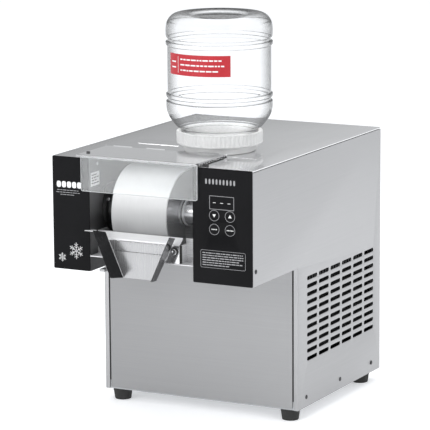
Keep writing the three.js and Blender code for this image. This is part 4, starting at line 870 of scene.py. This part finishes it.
# ------------------------------------------------------------------ lid and guard
def guard():
    """The clear sheet on the lid's front, with a pale rim as a painted highlight along its edges."""
    low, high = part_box("splash_guard")
    edge = 0.7 * MM
    inner = rectangle(low.x + edge, low.z + edge, high.x - edge, high.z - edge, 3.4 * MM, 8)
    outer = rectangle(low.x, low.z, high.x, high.z, 4 * MM, 8)
    lets_light_through(sheet(
        "guard_panel", "lid", ACRYLIC, [inner], "y", low.y + 0.1 * MM, high.y - 0.1 * MM, 0.1 * MM,
        ["splash_guard"],
    ))
    lets_light_through(sheet("guard_rim_highlight", "lid", ACRYLIC_EDGE_HIGHLIGHT, [outer, inner], "y", low.y, high.y, 0.15 * MM))


guard()
dress("lid", LID_STEEL, 0.5 * MM)

# ------------------------------------------------------------------ drum and shaft
SHAFT_LINE = (0, DRUM.y, DRUM.z)
DRUM_START, DRUM_END = (corner.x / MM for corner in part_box("drum_shell"))
SHAFT_RADIUS = 19  # in millimetres, as the drum's start and end and all profiles are


def drum():
    """The frosted barrel, and the polished disc in its right end."""
    low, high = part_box("drum_shell")
    rim = (high.z - low.z) / 2 / MM
    start, end = DRUM_START, DRUM_END
    bore = SHAFT_RADIUS + 0.4
    turned("drum_skin", "drum", DRUM_FROST, "x", SHAFT_LINE,
           [(bore, start + 1.5), (60, start + 1.5), (62, start), (rim - 1.2, start), (rim, start + 1.2),
            (rim, end - 0.8), (rim - 0.8, end), (rim - 2.4, end), (rim - 2.4, end - 3), (bore, end - 3)],
           192, ["drum_shell"])
    turned("drum_end_disc", "drum", DISC, "x", SHAFT_LINE,
           [(bore, end - 0.4), (rim - 3.0, end - 0.4), (rim - 2.5, end - 0.9), (rim - 2.5, end - 2.9),
            (bore, end - 2.9)], 128)


def shaft():
    """The stepped shaft with its collar where it leaves the drum, and a white ring on the collar as a painted
    highlight.
    """
    start, stop = (corner.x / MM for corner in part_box("drum_shaft"))
    end = DRUM_END
    turned("drum_shaft_turned", "drum", TURNED, "x", SHAFT_LINE,
           [(0, start), (18, start), (SHAFT_RADIUS, start + 1), (SHAFT_RADIUS, end), (20.9, end + 0.1),
            (21, end + 0.9), (20.4, end + 1.9), (19.2, end + 3), (SHAFT_RADIUS, end + 3.6),
            (SHAFT_RADIUS, stop - 17.2), (18.5, stop - 17), (8, stop - 17), (8, stop - 1), (7, stop),
            (0, stop)], 96, ["drum_shaft"])
    # Painted highlight: a white ring on the shaft's collar.
    turned("drum_collar_highlight", "drum", EDGE_HIGHLIGHT, "x", SHAFT_LINE,
           [(19.2, end + 1.0), (21.3, end + 1.0), (21.7, end + 1.4), (21.7, end + 3.4), (21.3, end + 3.8),
            (19.2, end + 3.8)], 96)


def left_bearing():
    """A flanged housing with four screws on a circle."""
    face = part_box("left_drum_bearing")[0].x
    turned("left_bearing_housing", "cabinet", BLACK_PAINT, "x", (face, DRUM.y, DRUM.z),
           [(19.5, 0), (40, 0), (40, 3.6), (38.6, 5), (29, 5), (27.5, 6), (26, 12.6), (25, 13.7), (21, 13.7),
            (20.5, 12.5), (19.5, 12.5)], 96, ["left_drum_bearing"])
    screw_circle = 33 * MM
    for k in range(4):
        angle = math.radians(62 + 90 * k)
        y, z = DRUM.y + screw_circle * math.cos(angle), DRUM.z + screw_circle * math.sin(angle)
        turned(f"left_bearing_screw_{k}", "cabinet", POLISHED, "x", (face + 5 * MM, y, z),
               [(0, -1), (3.6, -1), (3.6, 1.8), (2.9, 2.6), (1.7, 2.6), (1.7, 1.2), (0, 1.2)], 24)


drum()
shaft()
left_bearing()


# ------------------------------------------------------------------ thumb screws with knurled rims
def knurls(angle, radius, along):
    return radius - 0.25 * MM * (1 + math.cos(24 * angle)) if radius > 4.5 * MM else radius


def thumb_screw(node):
    """A knurled head on a stud, with a washer behind it on the blade holder."""
    low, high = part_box(node)
    x, z = (low.x + high.x) / 2, (low.z + high.z) / 2
    length = (high.y - low.y) / MM
    turned(node + "_knurled", "cabinet", POLISHED, "y", (x, low.y, z),
           [(0, 1.6), (2, 1.6), (2.2, 0), (4.3, 0), (4.9, 0.6), (4.9, 4.6), (4.3, 5.2), (2, 5.2), (2, length),
            (0, length)], 96, [node], ripple=knurls)
    turned(node + "_washer", "cabinet", RUBBER, "y", (x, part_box("blade_holder")[0].y, z),
           [(2.1, -0.9), (6.0, -0.9), (6.5, -0.5), (6.5, 0), (2.1, 0)], 48)


for node in ("left_thumb_screw", "right_thumb_screw"):
    thumb_screw(node)


# ------------------------------------------------------------------ snow chute
def quad_plate(corners, thickness_vector):
    """A thin plate on four corners, thickened along a vector, with its edges rounded."""
    shape = bmesh.new()
    near = [shape.verts.new(Vector(c)) for c in corners]
    far = [shape.verts.new(Vector(c) + thickness_vector) for c in corners]
    shape.faces.new(near)
    shape.faces.new(far[::-1])
    for k in range(4):
        j = (k + 1) % 4
        shape.faces.new([near[j], near[k], far[k], far[j]])
    bmesh.ops.recalc_face_normals(shape, faces=shape.faces)
    bmesh.ops.bevel(shape, geom=shape.edges, offset=0.35 * MM, segments=2, affect="EDGES")
    return shape


chute_low, chute_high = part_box("snow_chute")
CHUTE_BACK = chute_high.y
CHUTE_FRONT = chute_low.y
CHUTE_SHEET = 1.5 * MM
CHUTE_TOP = chute_high.z - 7 * MM
CHUTE_BOTTOM = chute_low.z
LEFT_TOP = chute_low.x + 21 * MM
RIGHT_TOP = chute_high.x - 6 * MM


def chute_left(z):
    return LEFT_TOP + (CHUTE_TOP - z) * 0.437


def chute_right(z):
    return RIGHT_TOP - (CHUTE_TOP - z) * 0.484


def chute_plate():
    """The back sheet in two halves, with a fine gap that stands for the crease across it."""
    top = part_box("blade_holder")[1].z + 0.2 * MM
    crease = CHUTE_TOP - 28 * MM
    half_gap = 0.25 * MM
    loops = []
    for z0, z1 in ((CHUTE_BOTTOM, crease - half_gap), (crease + half_gap, top)):
        loops.append([
            (chute_left(z0), z0), (chute_right(z0), z0), (chute_right(z1), z1), (chute_left(z1), z1)
        ])
    sheet("chute_plate", "chute", CHUTE_STEEL, loops, "y", CHUTE_BACK - CHUTE_SHEET, CHUTE_BACK, 0.3 * MM,
          ["snow_chute"])


chute_plate()


def highlight_rod(name, body, material, ends, radius):
    """A thin round-ended tube between points, as a painted highlight along the edge of a sheet."""
    shape = bmesh.new()
    for start, end in zip(ends, ends[1:]):
        start, end = Vector(start), Vector(end)
        turn = (end - start).to_track_quat("Z", "Y").to_matrix().to_4x4()
        bmesh.ops.create_cone(
            shape, cap_ends=True, segments=10, radius1=radius, radius2=radius, depth=(end - start).length,
            matrix=Matrix.Translation((start + end) / 2) @ turn,
        )
    add_piece(name, finished(shape, name), body, material)


def chute_wing(side, edge, inward):
    """A side wall that leans outward to the front, dark as a painted reflection, with thin bright rods along
    its fold and its front as painted highlights.
    """
    foot_flare, head_flare = 6.3 * MM, 6 * MM
    corners = [
        Vector((edge(CHUTE_BOTTOM), CHUTE_BACK - CHUTE_SHEET, CHUTE_BOTTOM)),
        Vector((edge(CHUTE_BOTTOM) - inward * foot_flare, CHUTE_FRONT, CHUTE_BOTTOM + 4 * MM)),
        Vector((edge(CHUTE_TOP) - inward * head_flare, CHUTE_FRONT, CHUTE_TOP + 7 * MM)),
        Vector((edge(CHUTE_TOP), CHUTE_BACK - CHUTE_SHEET, CHUTE_TOP)),
    ]
    wing = quad_plate(corners, Vector((inward * CHUTE_SHEET, 0, 0)))
    add_piece(f"chute_{side}_wing", finished(wing, "wing"), "chute", WING_STEEL_PAINTED_REFLECTION)
    inside = Vector((inward * CHUTE_SHEET * 0.8, -0.2 * MM, 0))
    highlight_rod(f"chute_{side}_fold", "chute", EDGE_HIGHLIGHT, [corners[0] + inside, corners[3] + inside], 0.45 * MM)
    front = Vector((inward * CHUTE_SHEET * 0.5, 0.35 * MM, 0))
    edge_highlight_line = [corners[1] + front, corners[2] + front]
    highlight_rod(f"chute_{side}_front_edge", "chute", EDGE_HIGHLIGHT, edge_highlight_line, 0.35 * MM)


def chute_lip():
    """The small flat ear at the upper left corner."""
    z = CHUTE_TOP + 5 * MM
    front, back = CHUTE_FRONT, CHUTE_FRONT + 10 * MM
    outline = [(LEFT_TOP - 21 * MM, front), (LEFT_TOP - 5 * MM, front), (LEFT_TOP - 4 * MM, back),
               (LEFT_TOP - 8 * MM, back)]
    sheet("chute_lip", "chute", TROUGH_STEEL, [rounded(outline, 1.5 * MM)], "z", z, z + 1 * MM, 0.2 * MM)


for side, edge, inward in (("left", chute_left, 1), ("right", chute_right, -1)):
    chute_wing(side, edge, inward)
chute_lip()

# ------------------------------------------------------------------ bottle, cap and label
# The bottle's and the cap's profiles are in millimetres from the cap's foot, on the bottle's axis.
BOTTLE_FOOT = (BOTTLE.x, BOTTLE.y, BOTTLE_Z)
NECK = 60.4
NECK_START = 14.2
BOTTLE_END = 212.8
WALL = 1.1
BOTTLE_PATH = [
    (NECK, NECK_START), (NECK, 35), (66, 36.5), (75.5, 48), (82.5, 60), (84.4, 70), (84.2, 77), (84, 79.8),
    (81.4, 80.6), (81.2, 83), (81.4, 85.6), (84.2, 86.4), (84.4, 89), (84.2, 91.6), (81.8, 92.4), (81.8, 96),
    (82, 110),
    (82, 150), (82, 164), (82, 167.4), (84.4, 168.2), (84.6, 171), (84.4, 173.8), (81.4, 174.6), (81.2, 177),
    (81.4, 179.4), (84, 180.2), (84.5, 186), (84.5, 194), (83.4, 203), (78.5, 211.5), (71, 217.2),
    (62, 218.6), (52, 217.5), (44.5, 213.8), (40, BOTTLE_END), (20, BOTTLE_END), (0, BOTTLE_END),
]


def thread(profile):
    """Adds three rounded turns to the straight neck of a profile."""
    start, rest = profile[0], [p for p in profile if p[1] > 34.9]
    neck = [start]
    for turn in (17.5, 23, 28.5):
        neck += [(NECK, turn - 1.4), (NECK + 1.4, turn - 0.4), (NECK + 1.4, turn + 0.4), (NECK, turn + 1.4)]
    return neck + rest


def bottle():
    """One thin clear shell with an inner and an outer wall, open at its neck."""
    curve = softened(BOTTLE_PATH, 2)
    outside = [(r, h) for r, h in thread(curve)[:-1] if r > 0]
    inside = [(max(r - WALL, 0), h - (WALL if h > 205 else 0)) for r, h in curve]
    back = [(r, h) for r, h in inside[::-1] if r > 0][:-1]
    profile = outside + [(0, BOTTLE_END), (0, BOTTLE_END - WALL)] + back + [(NECK - WALL, NECK_START)]
    lets_light_through(turned(
        "bottle_shell", "bottle", PET, "z", BOTTLE_FOOT, profile, 160,
        ["bottle", "bottle_shoulder", "bottle_base"], smooth_below=60,
    ))


bottle()

RIB_COUNT = 60


def cap_ribs(angle, radius, height):
    if radius > 68 * MM and 15 * MM < height < 30.5 * MM:
        return radius - 0.8 * MM * (1 + math.cos(RIB_COUNT * angle))
    return radius


turned("cap_moulding", "bottle", MILKY, "z", BOTTLE_FOOT,
       [(6.6, 0.4), (30, 0.4), (31, 0), (56, 0), (57, 1), (57, 9.2), (57.8, 10.3), (66.8, 11.6), (68, 12.6),
        (68.4, 13.8), (68.4, 15.2), (68.4, 18), (68.4, 22), (68.4, 26), (68.4, 30.2), (68.2, 31), (67.2, 32),
        (63.2, 32), (62.4, 31.2), (62.4, 13.7), (6.6, 13.7)],
       360, ["bottle_cap"], ripple=cap_ribs)

LABEL_RADIUS = 82.75 * MM
LABEL_HALF_ANGLE = math.radians(39.3)


def wrapped(name, spans, radius, thickness, material, stands_for=(), steps=48):
    """Patches of a sleeve round the bottle. A span is (start angle, end angle, low z, high z)."""
    shape = bmesh.new()
    for start, end, z0, z1 in spans:
        count = max(2, int(steps * (end - start) / (2 * LABEL_HALF_ANGLE)) + 1)
        columns = []
        for k in range(count + 1):
            angle = start + (end - start) * k / count - math.pi / 2
            column = []
            for r, z in ((radius, z0), (radius, z1), (radius + thickness, z1), (radius + thickness, z0)):
                x, y = BOTTLE.x + r * math.cos(angle), BOTTLE.y + r * math.sin(angle)
                column.append(shape.verts.new((x, y, z)))
            columns.append(column)
        for a, b in zip(columns, columns[1:]):
            for k in range(4):
                j = (k + 1) % 4
                shape.faces.new((a[k], a[j], b[j], b[k]))
        shape.faces.new(columns[0])
        shape.faces.new(columns[-1][::-1])
    return add_piece(name, finished(shape, name), "bottle", material, stands_for)


def label_words(top):
    """Three rows of blocks that stand for words, each a random number of degrees long."""
    at = math.radians
    words = random.Random(3)
    marks = []
    for row in range(3):
        angle = at(-19.5)
        row_top = top - (6 + row * 8.4) * MM
        while angle < at(30 if row < 2 else 22):
            width = at(words.choice((2.2, 3.4, 4.6, 6.0)))
            marks.append((angle, angle + width, row_top - 2.9 * MM, row_top - 0.7 * MM))
            angle += width + at(1.1)
    return marks


def label():
    """A film wrapped round the bottle's front, with a divider, two bars and rows of blocks."""
    low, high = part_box("bottle_label")
    film = 0.25 * MM
    wrapped("label_film", [(-LABEL_HALF_ANGLE, LABEL_HALF_ANGLE, low.z, high.z)], LABEL_RADIUS, film, RED,
            ["bottle_label"])
    at = math.radians
    margin, half_bar = 3.5 * MM, 1.1 * MM
    marks = [(at(-23.4), at(-22.9), low.z + margin, high.z - margin)]
    for share in (0.36, 0.62):
        bar_z = low.z + (high.z - low.z) * share
        marks.append((at(-34.5), at(-27), bar_z - half_bar, bar_z + half_bar))
    wrapped("label_marks", marks + label_words(high.z), LABEL_RADIUS + film, 0.06 * MM, PRINT)


label()


# ------------------------------------------------------------------ condenser fins behind the grille
def condenser_fins():
    """Thin upright plates on the condenser's face, seen through the slots of the right side panel; their
    near-black colour is painted shade inside the cabinet.
    """
    low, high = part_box("condenser")
    shape = bmesh.new()
    pitch, end_margin, thickness = 2.6 * MM, 5 * MM, 0.35 * MM
    wobble = random.Random(5)
    loop = rectangle(high.x - 8 * MM, low.z + 8 * MM, high.x + 2.5 * MM, high.z - 20 * MM)
    for k in range(int((high.y - low.y - 2 * end_margin) / pitch)):
        y = low.y + end_margin + k * pitch + wobble.uniform(-0.2, 0.2) * MM
        near = [shape.verts.new((a, y, b)) for a, b in loop]
        far = [shape.verts.new((a, y + thickness, b)) for a, b in loop]
        shape.faces.new(near)
        shape.faces.new(far[::-1])
        for i in range(4):
            j = (i + 1) % 4
            shape.faces.new((near[j], near[i], far[i], far[j]))
    add_piece("condenser_fins", finished(shape, "fins"), "cabinet", FINS_PAINTED_SHADE)


condenser_fins()

# ------------------------------------------------------------------ small things on the lid and cover
LID_LOW, LID_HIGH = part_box("lid")
STRIP_FRONT, STRIP_BACK = HEAD_FRONT + 3 * MM, LID_HIGH.y - 4 * MM
SUNK = 0.1 * MM  # how far small pieces reach into the cover


def lid_button():
    turned("lid_button", "lid", BLACK_PLASTIC, "z", (LID_LOW.x + 8 * MM, HEAD_FRONT + 24 * MM, LID_HIGH.z),
           [(0, -0.3), (3.2, -0.3), (3.2, 0.5), (2.4, 1.1), (0, 1.2)], 32)


def lid_edge_dark_strip():
    """A dark strip on the cover along the lid's right edge."""
    start, end = LID_HIGH.x + 0.8 * MM, LID_HIGH.x + 4.2 * MM
    sheet("lid_edge_dark_strip", "cabinet", RUBBER, [rectangle(start, STRIP_FRONT, end, STRIP_BACK, 0.8 * MM)], "z",
          TOP - SUNK, TOP + 0.8 * MM, 0.2 * MM)


def lid_edge_white_specks():
    """White specks in a broken line along the dark strip."""
    specks = random.Random(11)
    start, end = LID_HIGH.x + 1.3 * MM, LID_HIGH.x + 2.7 * MM
    y = STRIP_FRONT + 3 * MM
    loops = []
    while y < STRIP_BACK - 8 * MM:
        speck_end = y + specks.uniform(2.0, 5.0) * MM
        loops.append(rectangle(start, y, end, speck_end, 0.4 * MM, 2))
        y = speck_end + specks.uniform(2.0, 7.0) * MM
    sheet("lid_edge_white_specks", "cabinet", PRINT, loops, "z", TOP + 0.78 * MM, TOP + 1.0 * MM, 0.05 * MM)


def lid_catch():
    x, y = LID_HIGH.x + 9 * MM, HEAD_FRONT + 13 * MM
    outline = rectangle(x - 4 * MM, y, x + 4 * MM, y + 6 * MM, 1 * MM)
    sheet("lid_catch", "cabinet", BLACK_PLASTIC, [outline], "z", TOP - SUNK, TOP + 3 * MM, 0.5 * MM)


lid_button()
lid_edge_dark_strip()
lid_edge_white_specks()
lid_catch()


# ------------------------------------------------------------------ floor, camera and light
def floor():
    material = surface(
        "pale_floor", (0.80, 0.805, 0.815), (0.84, 0.845, 0.852), (0.75, 0.85), 0.0, (8, 8, 8), 2, 0.3, 0.02,
        Emission_Color=(0.97, 0.98, 1.0, 1), Emission_Strength=0.4,
    )
    shape = bmesh.new()
    reach = 40.0
    corners = ((-reach, -reach, 0), (reach, -reach, 0), (reach, reach, 0), (-reach, reach, 0))
    shape.faces.new([shape.verts.new(corner) for corner in corners])
    mesh = finished(shape, "floor")
    mesh.materials.append(material)
    piece = bpy.data.objects.new("floor", mesh)
    bpy.context.scene.collection.objects.link(piece)


floor()


def world():
    """White to the camera, and a grey studio that gets lighter upward in reflections."""
    scene = bpy.context.scene
    scene.world = bpy.data.worlds.new("studio")
    scene.world.use_nodes = True
    tree = scene.world.node_tree
    back = tree.nodes["Background"]
    place = add_node(tree, "ShaderNodeTexCoord")
    apart = add_node(tree, "ShaderNodeSeparateXYZ")
    ramp = add_node(
        tree, "ShaderNodeMapRange", **{"From Min": -0.3, "From Max": 0.8, "To Min": 0.30, "To Max": 0.85}
    )
    tree.links.new(place.outputs["Generated"], apart.inputs[0])
    tree.links.new(apart.outputs["Z"], ramp.inputs["Value"])
    tree.links.new(ramp.outputs["Result"], back.inputs["Strength"])
    back.inputs["Color"].default_value = (0.97, 0.985, 1.0, 1)


world()


def area_light(name, location, target, size, power, colour=(1, 1, 1)):
    lamp = bpy.data.lights.new(name, "AREA")
    lamp.shape = "RECTANGLE"
    lamp.size, lamp.size_y = size
    lamp.energy = power
    lamp.color = colour
    piece = bpy.data.objects.new(name, lamp)
    piece.location = location
    piece.rotation_euler = (Vector(target) - Vector(location)).to_track_quat("-Z", "Y").to_euler()
    bpy.context.scene.collection.objects.link(piece)


area_light("key", (-1.2, -3.1, 1.6), (0, 0, 0.3), (1.5, 1.3), 42)
area_light("fill", (2.6, -1.2, 1.6), (0, 0, 0.3), (1.4, 1.8), 20)
area_light("overhead", (0.2, 0.4, 2.9), (0, 0, 0.3), (2.4, 2.4), 30)

CAMERA_AZIMUTH, CAMERA_ELEVATION, CAMERA_ROLL = 27.312, 10.752, 0.371
CAMERA_DISTANCE, CAMERA_TARGET, CAMERA_LENS = 4.3645, Vector((-0.0046, 0, 0.3110)), 225.617


def camera():
    azimuth, elevation = math.radians(CAMERA_AZIMUTH), math.radians(CAMERA_ELEVATION)
    away = Vector((
        math.sin(azimuth) * math.cos(elevation), -math.cos(azimuth) * math.cos(elevation), math.sin(elevation)
    ))
    data = bpy.data.cameras.new("camera")
    data.lens = CAMERA_LENS
    piece = bpy.data.objects.new("camera", data)
    turn = (-away).to_track_quat("-Z", "Y").to_matrix() @ Matrix.Rotation(math.radians(-CAMERA_ROLL), 3, "Z")
    piece.matrix_world = Matrix.Translation(CAMERA_TARGET + away * CAMERA_DISTANCE) @ turn.to_4x4()
    bpy.context.scene.collection.objects.link(piece)
    bpy.context.scene.camera = piece


camera()
bpy.context.scene.view_settings.view_transform = "Standard"
